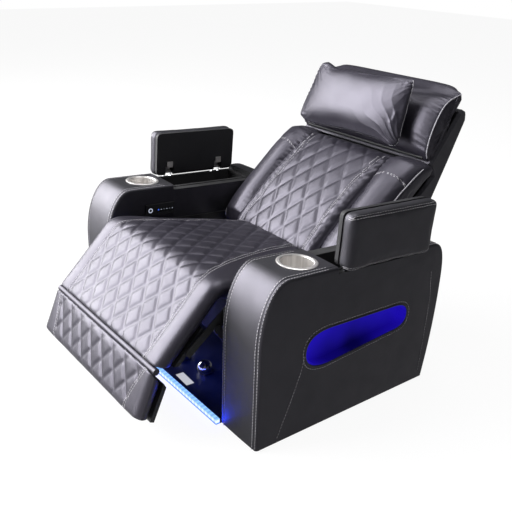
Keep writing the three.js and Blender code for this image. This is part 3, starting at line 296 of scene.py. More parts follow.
def welt(name, lines, radius, material, closed=False):
    """Round piping along lines already in place"""
    curve = bpy.data.curves.new(name, "CURVE")
    curve.dimensions = "3D"
    curve.bevel_depth = radius
    curve.bevel_resolution = 3
    curve.use_fill_caps = True
    for line in lines:
        spline = curve.splines.new("POLY")
        spline.points.add(len(line) - 1)
        for point, p in zip(spline.points, line):
            point.co = (*p, 1)
        spline.use_cyclic_u = closed
    source = bpy.data.objects.new(name + "_line", curve)
    bpy.context.scene.collection.objects.link(source)
    graph = bpy.context.evaluated_depsgraph_get()
    mesh = bpy.data.meshes.new_from_object(source.evaluated_get(graph), depsgraph=graph)
    bpy.data.objects.remove(source)
    bm = bmesh.new()
    bm.from_mesh(mesh)
    bpy.data.meshes.remove(mesh)
    return piece(name, bm, material)


def place_piping(name, obj, lines, body, material="piping"):
    """Piping laid along seams of a cushion, on the body that carries it"""
    radius = looks().piping_radius
    tree = surface_of(obj)
    laid = [[p for p, _, _ in lay(tree, line, PIPING_STEP, radius * PIPING_LIFT)] for line in lines]
    return mount(welt(name, laid, radius, MATERIALS[material]), body)


def mount(obj, body):
    """Carries a piece on a body"""
    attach(obj, body)
    return obj


def dress(obj, body, node_name):
    """Puts a padded piece in the place of its CAD node"""
    mount(obj, body)
    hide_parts(node_name)


def stitch_piece(name, bm):
    return piece(name, bm, MATERIALS["thread"], smooth=False)


def pad_stitches(name, pad, offsets, steps, place):
    """Rows of stitches beside a pad's two long seams: place(sign, offset, step) gives their points"""
    tree = surface_of(pad)
    bm = bmesh.new()
    for sign in (1, -1):
        for offset in offsets:
            thread(bm, tree, [place(sign, offset, step) for step in steps])
    return stitch_piece(name, bm)


def cut_with(obj, tool):
    step = obj.modifiers.new("Cut", "BOOLEAN")
    step.operation = "DIFFERENCE"
    step.solver = "EXACT"
    step.object = tool
    step.material_mode = "TRANSFER"
    settle(obj)
    bpy.data.objects.remove(tool)


def prism(name, points, x0, x1, material):
    """A side outline, in world metres, made solid from x0 to x1"""
    bm = bmesh.new()
    face = bm.faces.new([bm.verts.new((x0, y, z)) for y, z in points])
    made = bmesh.ops.extrude_face_region(bm, geom=[face])
    moved = [v for v in made["geom"] if isinstance(v, bmesh.types.BMVert)]
    bmesh.ops.translate(bm, verts=moved, vec=(x1 - x0, 0, 0))
    return piece(name, bm, material, smooth=False)


# Materials
def node_group(name, inputs, outputs):
    group = bpy.data.node_groups.new(name, "ShaderNodeTree")
    for label, kind, value in inputs:
        socket = group.interface.new_socket(label, in_out="INPUT", socket_type=kind)
        if value is not None:
            socket.default_value = value
    for label, kind in outputs:
        group.interface.new_socket(label, in_out="OUTPUT", socket_type=kind)
    return group, group.nodes.new("NodeGroupInput"), group.nodes.new("NodeGroupOutput")


def node(tree, kind, links=(), **values):
    made = tree.nodes.new("ShaderNode" + kind)
    for key, value in values.items():
        if hasattr(made, key):
            setattr(made, key, value)
        else:
            made.inputs[int(key[1:])].default_value = value
    for index, source in links:
        tree.links.new(source, made.inputs[index])
    return made


def grain_group():
    """Leather: fine pebbled grain, soft creases and slow colour changes, from object coordinates"""
    group, start, end = node_group(
        "leather_grain",
        [("Grain Scale", "NodeSocketFloat", 700.0), ("Crease Scale", "NodeSocketFloat", 16.0),
         ("Grain", "NodeSocketFloat", 0.3), ("Crease", "NodeSocketFloat", 0.5)],
        [("Height", "NodeSocketFloat"), ("Tone", "NodeSocketFloat"), ("Gloss", "NodeSocketFloat")],
    )
    place = node(group, "TexCoord").outputs["Object"]
    pebbles = node(group, "TexVoronoi", [(0, place), (2, start.outputs[0])], feature="SMOOTH_F1")
    pores = node(group, "TexNoise", [(0, place), (2, start.outputs[0])], i3=3.0, i4=0.6)
    creases = node(group, "TexNoise", [(0, place), (2, start.outputs[1])], i3=4.0, i4=0.55, i8=0.6)
    ridges = node(group, "Math", [(0, creases.outputs[0])], operation="PINGPONG", i1=0.12)
    fine = node(group, "Math", [(0, pebbles.outputs[0]), (1, pores.outputs[0])], operation="ADD")
    fine = node(group, "Math", [(0, fine.outputs[0]), (1, start.outputs[2])], operation="MULTIPLY")
    folds = node(group, "Math", [(0, ridges.outputs[0]), (1, start.outputs[3])], operation="MULTIPLY")
    height = node(group, "Math", [(0, fine.outputs[0]), (1, folds.outputs[0])], operation="ADD")
    tone = node(group, "TexNoise", [(0, place)], i2=5.0, i3=2.0)
    gloss = node(group, "MapRange", [(0, creases.outputs[0])], i1=0.3, i2=0.7, i3=0.0, i4=1.0)
    group.links.new(height.outputs[0], end.inputs[0])
    group.links.new(tone.outputs[0], end.inputs[1])
    group.links.new(gloss.outputs[0], end.inputs[2])
    return group


def wear_group():
    """Hard parts: dust, faint scratches and slow changes of gloss"""
    group, start, end = node_group(
        "surface_wear",
        [("Scale", "NodeSocketFloat", 30.0), ("Stretch", "NodeSocketVector", (1.0, 1.0, 1.0))],
        [("Mask", "NodeSocketFloat"), ("Fine", "NodeSocketFloat")],
    )
    place = node(group, "TexCoord").outputs["Object"]
    spread = node(group, "VectorMath", [(0, place), (1, start.outputs[1])], operation="MULTIPLY")
    cloud = node(group, "TexNoise", [(0, place), (2, start.outputs[0])], i3=4.0, i4=0.6)
    fine = node(group, "TexNoise", [(0, spread.outputs[0])], i2=900.0, i3=2.0, i4=0.5)
    mask = node(group, "MapRange", [(0, cloud.outputs[0])], i1=0.35, i2=0.65, i3=0.0, i4=1.0)
    group.links.new(mask.outputs[0], end.inputs[0])
    group.links.new(fine.outputs[0], end.inputs[1])
    return group


def start_material(name, color, **sockets):
    material = bpy.data.materials.new(name)
    material.use_nodes = True
    shader = material.node_tree.nodes["Principled BSDF"]
    shader.inputs["Base Color"].default_value = (*color[:3], 1)
    for label, value in sockets.items():
        shader.inputs[label.replace("_", " ")].default_value = value
    return material, material.node_tree, shader


def shades(tree, shader, factor, dark, light):
    mix = node(tree, "Mix", data_type="RGBA")
    tree.links.new(factor, mix.inputs[0])
    mix.inputs[6].default_value = (*dark[:3], 1)
    mix.inputs[7].default_value = (*light[:3], 1)
    tree.links.new(mix.outputs[2], shader.inputs["Base Color"])


def leather(name, color, light, roughness, grain=0.3, crease=0.5, bump=0.0006, tint=(1, 1, 1, 1), level=0.5):
    material, tree, shader = start_material(name, color)
    shader.inputs["Specular Tint"].default_value = tint
    shader.inputs["Specular IOR Level"].default_value = level
    group = tree.nodes.new("ShaderNodeGroup")
    group.node_tree = bpy.data.node_groups["leather_grain"]
    group.inputs[2].default_value, group.inputs[3].default_value = grain, crease
    shades(tree, shader, group.outputs[1], color, light)
    rough = node(tree, "MapRange", [(0, group.outputs[2])], i3=roughness - 0.05, i4=roughness + 0.05)
    relief = tree.nodes.new("ShaderNodeBump")
    relief.inputs["Distance"].default_value = bump
    relief.inputs["Strength"].default_value = 1.0
    tree.links.new(group.outputs[0], relief.inputs["Height"])
    tree.links.new(rough.outputs[0], shader.inputs["Roughness"])
    tree.links.new(relief.outputs[0], shader.inputs["Normal"])
    return material


def hard(name, color, light, roughness, metallic=0.0, scale=30.0, stretch=(1, 1, 1), bump=0.0, streaks=0,
         **sockets):
    material, tree, shader = start_material(name, color, Metallic=metallic, **sockets)
    group = tree.nodes.new("ShaderNodeGroup")
    group.node_tree = bpy.data.node_groups["surface_wear"]
    group.inputs[0].default_value, group.inputs[1].default_value = scale, stretch
    shades(tree, shader, group.outputs[streaks], color, light)
    rough = node(tree, "MapRange", [(0, group.outputs[0])], i3=roughness * 0.8, i4=roughness * 1.2)
    tree.links.new(rough.outputs[0], shader.inputs["Roughness"])
    if bump:
        relief = tree.nodes.new("ShaderNodeBump")
        relief.inputs["Distance"].default_value = bump
        tree.links.new(group.outputs[1], relief.inputs["Height"])
        tree.links.new(relief.outputs[0], shader.inputs["Normal"])
    return material


def extent(mesh):
    """The lowest and highest corner of a mesh, in its own frame"""
    return [Vector([pick(v.co[i] for v in mesh.vertices) for i in range(3)]) for pick in (min, max)]


def glowing(name, glow, strength, mesh):
    """A lit diffuser, darker along the lower middle, where the light comes over its upper edge"""
    low, high = extent(mesh)
    material, tree, shader = start_material(name, [c * 0.05 for c in glow], Roughness=0.6)
    shader.inputs["Specular IOR Level"].default_value = 0.1
    place = node(tree, "TexCoord").outputs["Object"]
    parts = node(tree, "SeparateXYZ", [(0, place)])
    rise = node(tree, "MapRange", [(0, parts.outputs[2])], i1=low.z, i2=high.z)
    along = node(tree, "MapRange", [(0, parts.outputs[1])], i1=low.y, i2=high.y, i3=-1.0, i4=1.0)
    ends = node(tree, "Math", [(0, along.outputs[0])], operation="ABSOLUTE")
    ends = node(tree, "Math", [(0, ends.outputs[0])], operation="POWER", i1=1.6)
    cloud = node(tree, "TexNoise", [(0, place)], i2=9.0, i3=1.0)
    total = node(tree, "Math", [(0, rise.outputs[0]), (1, ends.outputs[0])], operation="ADD")
    total = node(tree, "Math", [(0, total.outputs[0]), (1, cloud.outputs[0])], operation="ADD")
    level = node(tree, "MapRange", [(0, total.outputs[0])], i1=0.6, i2=1.7, i3=strength * 0.12, i4=strength)
    shader.inputs["Emission Color"].default_value = (*glow, 1)
    tree.links.new(level.outputs[0], shader.inputs["Emission Strength"])
    return material


def lit_mark(name, glow, mesh, inner, outer):
    """A black key lit through a ring or a dot round the middle of its face: shares of its half size"""
    low, high = extent(mesh)
    reach = sorted((high - low) / 2)[-1]
    material, tree, shader = start_material(name, (0.01, 0.01, 0.012), Roughness=0.4)
    place = node(tree, "TexCoord").outputs["Object"]
    away = node(tree, "VectorMath", [(0, place)], operation="DISTANCE", i1=(low + high) / 2)
    far = away.outputs["Value"]
    inside = node(tree, "MapRange", [(0, far)], i1=reach * (outer - 0.1), i2=reach * outer, i3=0.9, i4=0.0)
    beyond = node(tree, "MapRange", [(0, far)], i1=reach * inner, i2=reach * (inner + 0.1), i3=0.0, i4=1.0)
    mask = node(tree, "Math", [(0, inside.outputs[0]), (1, beyond.outputs[0])], operation="MULTIPLY")
    shader.inputs["Emission Color"].default_value = (*glow, 1)
    tree.links.new(mask.outputs[0], shader.inputs["Emission Strength"])
    return material


STRIP_HEIGHT = 0.0162
# Colours up the light strip's face: share of its height and colour
STRIP_COLOURS = ((0.0, (0.02, 0.1, 0.6)), (0.18, (0.05, 0.25, 1.0)), (0.34, (0.75, 0.92, 1.0)),
                 (0.7, (0.85, 0.97, 1.0)), (0.95, (0.3, 0.6, 1.0)))
# What the strip gives to other surfaces, and how close its diodes stand, in radians per metre
STRIP_CAST, STRIP_DIODES = (0.4, 1.2, 24.0, 1), 380.0


def led_strip():
    """Strip of diodes under a diffuser: white in the middle, blue at its edges and on what is near"""
    material, tree, shader = start_material("led_strip", (0.05, 0.08, 0.3), Roughness=0.4)
    shader.inputs["Specular IOR Level"].default_value = 0.1
    place = node(tree, "SeparateXYZ", [(0, node(tree, "TexCoord").outputs["Object"])])
    rise = node(tree, "MapRange", [(0, place.outputs[2])], i1=0.0, i2=STRIP_HEIGHT)
    ramp = node(tree, "ValToRGB", [(0, rise.outputs[0])])
    for i, (at, color) in enumerate(STRIP_COLOURS):
        stop = ramp.color_ramp.elements[i] if i < 2 else ramp.color_ramp.elements.new(at)
        stop.position, stop.color = at, (*color, 1)
    dots = node(tree, "Math", [(0, place.outputs[0])], operation="MULTIPLY", i1=STRIP_DIODES)
    dots = node(tree, "Math", [(0, dots.outputs[0])], operation="SINE")
    dots = node(tree, "MapRange", [(0, dots.outputs[0])], i1=-1.0, i2=1.0, i3=0.75, i4=1.15)
    shown = node(tree, "VectorMath", [(0, ramp.outputs[0]), (3, dots.outputs[0])], operation="SCALE")
    path = node(tree, "LightPath")
    seen = node(tree, "Mix", [(0, path.outputs["Is Camera Ray"]), (7, shown.outputs[0])], data_type="RGBA",
                i6=STRIP_CAST)
    tree.links.new(seen.outputs[2], shader.inputs["Emission Color"])
    shader.inputs["Emission Strength"].default_value = 1.0
    return material


MATERIALS = {}
PALE, BLUE = (0.75, 0.82, 1.0), (0.06, 0.16, 1.0)
SIDE_GLOW, SIDE_STRENGTH = (0.012, 0.004, 0.42), 0.9
# Painted light: the blank paper label glows with this colour of its own, though it is no lamp
LABEL_PAINTED_GLOW = (0.5, 0.5, 0.45, 1)
VIOLET = (0.88, 0.84, 1.0, 1)  # tint of the leathers' shine
# Lit marks: key, colour, and the mark's inner and outer radius as shares of the key's half length
KEY_MARKS = (("power_button", PALE, 0.45, 0.75), ("control_key_1", BLUE, -0.1, 0.6),
             ("control_key_2", PALE, -0.1, 0.42), ("control_key_3", PALE, -0.1, 0.36),
             ("control_key_4", PALE, -0.1, 0.42), ("control_key_5", PALE, -0.1, 0.36),
             ("control_key_6", PALE, -0.1, 0.42))


def make_materials(look):
    grain_group()
    wear_group()
    seat, arm = tuple(look.seat_colour), tuple(look.arm_colour)
    MATERIALS.update(
        seat=leather("seat_leather", seat, [c * 1.5 for c in seat], look.seat_roughness, tint=VIOLET,
                     level=0.8),
        arm=leather("arm_leather", arm, [c * 1.35 for c in arm], look.arm_roughness, grain=0.25, crease=0.8,
                    tint=VIOLET, level=0.9),
        lining=hard("lining", (0.012, 0.012, 0.013), (0.022, 0.022, 0.024), 0.75),
        thread=hard("pale_thread", (0.26, 0.25, 0.27), (0.42, 0.41, 0.44), 0.6, scale=200.0),
        piping=leather("pale_piping", (0.3, 0.29, 0.32), (0.4, 0.39, 0.43), 0.5, bump=0.0002),
        board=hard("covered_board", (0.012, 0.012, 0.014), (0.02, 0.02, 0.023), 0.6, scale=14.0, bump=0.0001),
        plastic=hard("black_plastic", (0.01, 0.01, 0.012), (0.018, 0.018, 0.021), 0.35, scale=22.0,
                     bump=0.00004),
        steel=hard("black_steel", (0.01, 0.01, 0.011), (0.018, 0.018, 0.02), 0.5, scale=18.0),
        stainless=hard("brushed_stainless", (0.55, 0.53, 0.52), (1.0, 0.98, 0.96), 0.36, 0.85,
                       stretch=(0.12, 0.12, 0.004), streaks=1),
        steel_bar=hard("black_steel_bar", (0.008, 0.008, 0.009), (0.014, 0.014, 0.016), 0.6, scale=18.0),
        satin=hard("satin_chrome", (0.5, 0.48, 0.47), (0.62, 0.6, 0.58), 0.4, 0.35, scale=60.0),
        chrome=hard("bright_chrome", (0.72, 0.73, 0.76), (0.8, 0.81, 0.84), 0.08, 1.0),
        **{f"blue_{side}": glowing(f"blue_light_{side}", SIDE_GLOW, SIDE_STRENGTH,
                                   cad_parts[f"side_light_{side}"].data) for side in ("left", "right")},
        white=led_strip(),
        label=hard("blank_label_painted_glow", (0.1, 0.1, 0.08), (0.14, 0.14, 0.1), 0.5, scale=60.0),
    )
    # Painted light: the label's paper is given a glow, so that it reads lit where it lies in shade
    paper = MATERIALS["label"].node_tree.nodes["Principled BSDF"]
    paper.inputs["Emission Color"].default_value = LABEL_PAINTED_GLOW
    paper.inputs["Emission Strength"].default_value = 1.0
    for name, glow, inner, outer in KEY_MARKS:
        MATERIALS[name] = lit_mark(f"{name}_light", glow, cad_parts[name].data, inner, outer)


class ReclinerLooks(bpy.types.PropertyGroup):
    """Colours and sizes that a user would change"""
    seat_colour: bpy.props.FloatVectorProperty(
        name="Seat Leather", description="Colour of the cushions' leather", subtype="COLOR", size=3,
        min=0, max=1, default=(0.012, 0.011, 0.016))
    arm_colour: bpy.props.FloatVectorProperty(
        name="Arm Leather", description="Colour of the arms' leather", subtype="COLOR", size=3,
        min=0, max=1, default=(0.0085, 0.009, 0.0095))
    seat_roughness: bpy.props.FloatProperty(
        name="Seat Roughness", description="How soft the cushions' shine is", subtype="FACTOR", min=0, max=1,
        default=0.4)
    arm_roughness: bpy.props.FloatProperty(
        name="Arm Roughness", description="How soft the arms' shine is", subtype="FACTOR", min=0, max=1,
        default=0.46)
    quilt_depth: bpy.props.FloatProperty(
        name="Quilt Depth", description="How deep the quilting lines sink", subtype="DISTANCE", unit="LENGTH",
        min=0, max=0.02, default=0.0056)
    stitch_length: bpy.props.FloatProperty(
        name="Stitch Length", description="Step from one stitch to the next", subtype="DISTANCE",
        unit="LENGTH", min=0.003, max=0.02, default=0.009)
    thread_width: bpy.props.FloatProperty(
        name="Thread Width", description="Width of the sewing thread", subtype="DISTANCE", unit="LENGTH",
        min=0.0003, max=0.003, default=0.0016)
    piping_radius: bpy.props.FloatProperty(
        name="Piping Radius", description="Radius of the piping in the seams", subtype="DISTANCE",
        unit="LENGTH", min=0.0005, max=0.005, default=0.0018)
    fill: bpy.props.FloatProperty(
        name="Cushion Fill", description="How full the cushions are", subtype="FACTOR", min=0, max=1,
        default=0.7)
    pressure: bpy.props.FloatProperty(
        name="Cushion Pressure", description="Pressure that blows the leather out", min=0, max=20,
        default=4.0)


def looks():
    return bpy.context.scene.recliner_looks


# Arms
def arm_top(y):
    return ARM_HEIGHT - (y - NOSE_DEPTH) * tan(radians(ARM_SLOPE))


def bezier(points, steps):
    """Points of a Bezier curve after its first one"""
    out = []
    for i in range(1, steps + 1):
        row = [Vector(p) for p in points]
        while len(row) > 1:
            row = [a.lerp(b, i / steps) for a, b in zip(row, row[1:])]
        out.append(row[0])
    return out


FRONT_STEPS, CURVE_STEPS, TOP_STEPS = 8, 20, 16


def arm_outline():
    """The arm's side outline from the floor at the front, over the top, to the floor at the rear"""
    rise = ARM_HEIGHT - NOSE_HEIGHT
    line = [Vector((0, rise * i / FRONT_STEPS)) for i in range(FRONT_STEPS + 1)]
    for i in range(1, CURVE_STEPS + 1):
        turn = i / CURVE_STEPS * pi / 2
        line.append(Vector((NOSE_DEPTH * (1 - cos(turn)), rise + NOSE_HEIGHT * sin(turn))))
    for i in range(1, TOP_STEPS + 1):
        y = NOSE_DEPTH + (TOP_END - NOSE_DEPTH) * i / TOP_STEPS
        line.append(Vector((y, arm_top(y))))
    end, bulge_y = arm_top(TOP_END), BASE_DEPTH + BULGE_OUT
    line += bezier([(TOP_END, end), (BASE_DEPTH, end), (bulge_y, end), (bulge_y, BULGE_HEIGHT)], CURVE_STEPS)
    line += bezier([(bulge_y, BULGE_HEIGHT), (bulge_y, BULGE_HEIGHT / 2), (BASE_DEPTH, 0)], CURVE_STEPS)
    return line


def outline_normals(line):
    out = []
    for i in range(len(line)):
        t = line[min(i + 1, len(line) - 1)] - line[max(i - 1, 0)]
        out.append(Vector((-t.y, t.x)).normalized())
    return out


# The arm's rounded edge and the sewn groove beside it; how far the leather swells past it and in the middle
CORNER, CORNER_STEPS, SEAM_IN, SEAM_HALF, SEAM_DEPTH = 9, 5, 12, 1.4, 1.5
SEAM_SWELL, ARM_SWELL = 0.4, 1.0


def arm_section():
    """Across the arm: (distance from its inner face, drop below the outline), with the sewn grooves"""
    turns = [i / CORNER_STEPS * pi / 2 for i in range(CORNER_STEPS + 1)]
    half = [(CORNER * (1 - cos(turn)), CORNER * (1 - sin(turn))) for turn in turns]
    half += [(SEAM_IN - SEAM_HALF, 0), (SEAM_IN, SEAM_DEPTH), (SEAM_IN + SEAM_HALF, 0)]
    half += [(SEAM_IN * 2, -SEAM_SWELL)]
    middle = [(ARM_WIDTH / 2, -ARM_SWELL)]
    return half + middle + [(ARM_WIDTH - x, d) for x, d in reversed(half)]


def arm_skin(name, sign):
    line, section = arm_outline(), arm_section()
    normals = outline_normals(line)

    def place(a, s):
        x, drop = section[round(a * (len(section) - 1))]
        i = round(s * (len(line) - 1))
        p = line[i] - normals[i] * drop
        return CHAIR @ Vector((sign * (INNER + x), p.x, max(p.y, 0)))

    bm = bmesh.new()
    bmesh.ops.create_grid(bm, x_segments=len(section) - 1, y_segments=len(line) - 1, size=1)
    corners = {}
    for v in bm.verts:
        a, s = (v.co.x + 1) / 2, (v.co.y + 1) / 2
        if abs(v.co.x) > 0.999 and abs(v.co.y) > 0.999:
            corners[round(a), round(s)] = v
        v.co = place(a, s)
    rims = [e for e in bm.edges if e.is_boundary]
    for a in (0, 1):
        side_x = corners[a, 0].co.x
        foot = bm.edges.new((corners[a, 0], corners[a, 1]))
        chain = [e for e in rims if all(abs(v.co.x - side_x) < 1e-6 for v in e.verts)]
        bmesh.ops.contextual_create(bm, geom=chain + [foot])
    bmesh.ops.contextual_create(bm, geom=[e for e in bm.edges if e.is_boundary])
    return piece(name, bm, MATERIALS["arm"], MATERIALS["lining"])


def tipped(y, z):
    """A place on the arm's sloping top, from the start of the rim"""
    turn = radians(-ARM_SLOPE)
    return (RIM_START + y * cos(turn) - z * sin(turn), arm_top(RIM_START) + y * sin(turn) + z * cos(turn))


def side_loop(points):
    return [((y - BASE_DEPTH / 2) * MM, (z + BASE_LIFT) * MM) for y, z in points]


SLOT = {"front": 151, "rear": 526, "bottom": (186, 206), "top": (291, 283), "rounds": (80, 62)}


def slot_outline(inset, steps=8):
    front, rear = SLOT["front"] + inset, SLOT["rear"] - inset
    bf, br = (v + inset for v in SLOT["bottom"])
    tf, tr = (v - inset for v in SLOT["top"])
    fr, rr = SLOT["rounds"]
    line = [Vector((front + fr, bf)), Vector((rear - rr, br))]
    line += bezier([line[-1], (rear, br), (rear, (br + tr) / 2)], steps)
    line += bezier([line[-1], (rear, tr), (rear - rr, tr)], steps)
    line += [Vector((front + fr, tf))]
    line += bezier([line[-1], (front, tf), (front, (bf + tf) / 2)], steps)
    line += bezier([line[-1], (front, bf), (front + fr, bf)], steps)
    return line[:-1]


CUP_FROM_FRONT, CUP_RADIUS, CUP_DEPTH, CUP_SIDES = 172, 45.4, 84, 48
BIN_SIDES, BIN_FLANGE, BIN_FLOOR = (351.6, 452.4), 8, (310, 300)
RECESS_DEPTH = 28.2
# How far the cutting tools run past the arm: over its top at the cup, the rim and the bin, and past its sides
CUP_ABOVE, RIM_ABOVE, BIN_TOP, PAST_SIDE = 30, 90, 500, 10


def cup_tool(sign):
    bm = bmesh.new()
    turn = Matrix.Rotation(radians(-ARM_SLOPE), 4, "X")
    middle = Matrix.Translation((sign * ARM_MIDDLE, CUP_FROM_FRONT, arm_top(CUP_FROM_FRONT)))
    place = CHAIR @ middle @ turn @ Matrix.Translation((0, 0, (CUP_ABOVE - CUP_DEPTH) / 2))
    bmesh.ops.create_cone(
        bm, cap_ends=True, segments=CUP_SIDES, radius1=CUP_RADIUS, radius2=CUP_RADIUS,
        depth=CUP_ABOVE + CUP_DEPTH, matrix=place)
    return piece("cup_tool", bm, MATERIALS["lining"], smooth=False)


def side_tool(name, sign, points, inner, outer):
    """Cuts a side outline through an arm, from `inner` to `outer` millimetres off the chair's middle"""
    ends = sorted((sign * inner * MM, sign * outer * MM))
    return prism(name, side_loop(points), *ends, MATERIALS["lining"])


def bin_hole(side):
    """The storage bin's hole, seen from the side, inside the flange of the bin's own node"""
    front, rear = (v.y / MM + BASE_DEPTH / 2 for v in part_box(f"storage_bin_{side}"))
    front, rear = front + BIN_FLANGE, rear - BIN_FLANGE
    return [(front, BIN_FLOOR[0]), (rear, BIN_FLOOR[1]), (rear, BIN_TOP), (front, BIN_TOP)]


def arm_world(sign, x, y, z):
    return CHAIR @ Vector((sign * x, y, z))


# Stitches on the arm: rows beside the sewn grooves, their gap before the rim, and lines down its side
ROWS_NEAR_EDGE, ROWS_NEAR_TOP, EDGE_ROW_DROP, RIM_GAP = 5.5, 4.5, 3, 6
FLANK_FRONT = ((149, 239), (140, 196), (120, 140), (95, 78), (69, 16))
FLANK_REAR = ((612, 30), (618, 150), (622, 260), (612, 350))
SLOT_ROW, SLOT_WELT_OUT, SLOT_WELT_IN, SLOT_WELT_RADIUS = 9, 1.5, 0.5, 0.0026
SHARP_ANGLE = 38


class RECLINER_OT_arms(bpy.types.Operator):
    """Covers both arms in sewn leather"""
    bl_idname = "recliner.arms"
    bl_label = "Arm Covers"

    def execute(self, context):
        far = HALF_WIDTH + PAST_SIDE
        corners = ((0, -RIM_STEP), (RIM_LENGTH, -RIM_STEP), (RIM_LENGTH, RIM_ABOVE), (0, RIM_ABOVE))
        rim = [tipped(*p) for p in corners]
        for side, sign in SIDES:
            cover = arm_skin(f"arm_leather_{side}", sign)
            cut_with(cover, side_tool("rim_tool", sign, rim, INNER - PAST_SIDE, far))
            cut_with(cover, side_tool("bin_tool", sign, bin_hole(side), *BIN_SIDES))
            cut_with(cover, cup_tool(sign))
            cut_with(cover, side_tool("slot_tool", sign, slot_outline(0), HALF_WIDTH - RECESS_DEPTH, far))
            cover.data.set_sharp_from_angle(angle=radians(SHARP_ANGLE))
            mount(cover, "root")
            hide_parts(f"arm_cover_{side}")
            self.sew(cover, side, sign)
        return {"FINISHED"}

    def sew(self, cover, side, sign):
        line, normals = arm_outline(), outline_normals(arm_outline())
        tree = surface_of(cover)
        bm = bmesh.new()
        stop = next(i for i, p in enumerate(line) if p.x > RIM_START - RIM_GAP)
        resume = next(i for i, p in enumerate(line) if p.x > RIM_START + RIM_LENGTH) + 2
        for x, drop in ((SEAM_IN - ROWS_NEAR_EDGE, EDGE_ROW_DROP), (SEAM_IN + ROWS_NEAR_TOP, 0),
                        (ARM_WIDTH - SEAM_IN + ROWS_NEAR_EDGE, EDGE_ROW_DROP),
                        (ARM_WIDTH - SEAM_IN - ROWS_NEAR_TOP, 0)):
            for part in (range(stop), range(resume, len(line))):
                thread(bm, tree, [arm_world(sign, INNER + x, *(line[i] - normals[i] * drop)) for i in part])
        for flank in (FLANK_FRONT, FLANK_REAR):
            thread(bm, tree, [arm_world(sign, HALF_WIDTH, y, z) for y, z in flank])
        around = [arm_world(sign, HALF_WIDTH, p.x, p.y) for p in slot_outline(-SLOT_ROW)]
        thread(bm, tree, around, closed=True)
        mount(stitch_piece(f"arm_stitches_{side}", bm), "root")
        lip = [arm_world(sign, HALF_WIDTH - SLOT_WELT_IN, p.x, p.y) for p in slot_outline(-SLOT_WELT_OUT, 16)]
        rim = welt(f"slot_welt_{side}", [lip], SLOT_WELT_RADIUS, MATERIALS["arm"], closed=True)
        mount(rim, "root")


# Quilting
def fold(t):
    return abs(t - round(t))


def quilt_near(across, along, pitch_across, pitch_along):
    a, b = across / pitch_across, along / pitch_along
    return min(fold(a + b), fold(a - b))


# The share of the quilting's depth in its sharp crease, the crease's width, and the power of the rest's fall
CREASE_SHARE, CREASE_WIDTH, DIAMOND_POWER = 0.58, 0.11, 3.2


def quilt_drop(near, depth):
    """A narrow sewn crease between nearly flat diamonds"""
    crease = depth * CREASE_SHARE * max(0.0, 1 - near / CREASE_WIDTH)
    return crease + depth * (1 - CREASE_SHARE) * (1 - 2 * near) ** DIAMOND_POWER


def span(marks, at):
    """A value read between pairs of (place, value)"""
    for (a, x), (b, y) in zip(marks, marks[1:]):
        if at < b:
            return x + (y - x) * max(at - a, 0) / (b - a)
    return marks[-1][1]


def catmull(points, steps):
    out = [Vector(points[0])]
    pts = [Vector(points[0])] + [Vector(p) for p in points] + [Vector(points[-1])]
    for k in range(1, len(pts) - 2):
        p0, p1, p2, p3 = pts[k - 1:k + 3]
        for i in range(1, steps + 1):
            t = i / steps
            out.append(0.5 * ((2 * p1) + (p2 - p0) * t + (2 * p0 - 5 * p1 + 4 * p2 - p3) * t ** 2
                              + (3 * p1 - p0 - 3 * p2 + p3) * t ** 3))
    return out


class SidePath:
    """An outer and an inner side line with equal lengths along, sampled by distance from a zero mark"""

    def __init__(self, pairs, zero):
        self.pairs = pairs
        self.marks = [0.0]
        for (a, _), (b, _) in zip(pairs, pairs[1:]):
            self.marks.append(self.marks[-1] + (b - a).length)
        self.zero = self.marks[zero]
        self.low, self.high = -self.zero, self.marks[-1] - self.zero

    def at(self, along):
        d = min(max(along + self.zero, 0), self.marks[-1])
        k = 0
        while k < len(self.marks) - 2 and self.marks[k + 1] < d:
            k += 1
        t = (d - self.marks[k]) / max(self.marks[k + 1] - self.marks[k], 1e-9)
        (a0, b0), (a1, b1) = self.pairs[k], self.pairs[k + 1]
        return a0.lerp(a1, t), b0.lerp(b1, t)


# How far the pads' undersides stand back from the crease, for the foot flap to fold under the leg rest,
# and over how many of a straight pad's steps they do
FOLD_ROOM, FOLD_STEPS, STRAIGHT_STEPS = 34, 8, 20
LEG_THICK, KNEE_STEPS, KNEE_THIN = 50, 12, 10
SEAT_TOP = ((30, 405), (70, 404.5), (120, 400), (180, 392), (250, 384), (330, 372), (407, 358))
# The seat cushion's underside on the deck, and the share of the top line in which it comes down to it
DECK_FRONT, DECK_REAR, DECK_SHARE = (62, 331.5), (377, 290), 0.125


def seat_path():
    """From the footrest's crease up the leg, round the knee and back over the seat; zero is over the knee"""
    pairs = []
    slope = radians(LEG_SLOPE)

    def on_leg(y, z):
        return Vector((KNEE_Y + y * cos(slope) - z * sin(slope), KNEE_Z + y * sin(slope) + z * cos(slope)))

    for i in range(STRAIGHT_STEPS + 1):
        y = -LEG_LENGTH * (1 - i / STRAIGHT_STEPS)
        room = FOLD_ROOM * max(0.0, 1 - i / FOLD_STEPS)
        pairs.append((on_leg(y, KNEE_RADIUS), on_leg(y + room, KNEE_RADIUS - LEG_THICK)))
    for i in range(1, KNEE_STEPS + 1):
        turn = pi / 2 + slope * (1 - i / KNEE_STEPS)
        inner = KNEE_RADIUS - LEG_THICK - KNEE_THIN * i / KNEE_STEPS
        radii = (KNEE_RADIUS, inner)
        pairs.append(tuple(Vector((KNEE_Y + r * cos(turn), KNEE_Z + r * sin(turn))) for r in radii))
    zero = len(pairs) - 1
    top = catmull(SEAT_TOP, 6)[1:]
    front, rear = Vector(DECK_FRONT), Vector(DECK_REAR)
    for k, p in enumerate(top):
        share = (k + 1) / len(top)
        if share < DECK_SHARE:
            lower = pairs[zero][1].lerp(front, min(share / DECK_SHARE, 1))
        else:
            lower = front.lerp(rear, (share - DECK_SHARE) / (1 - DECK_SHARE))
        pairs.append((p, lower))
    return SidePath(pairs, zero)


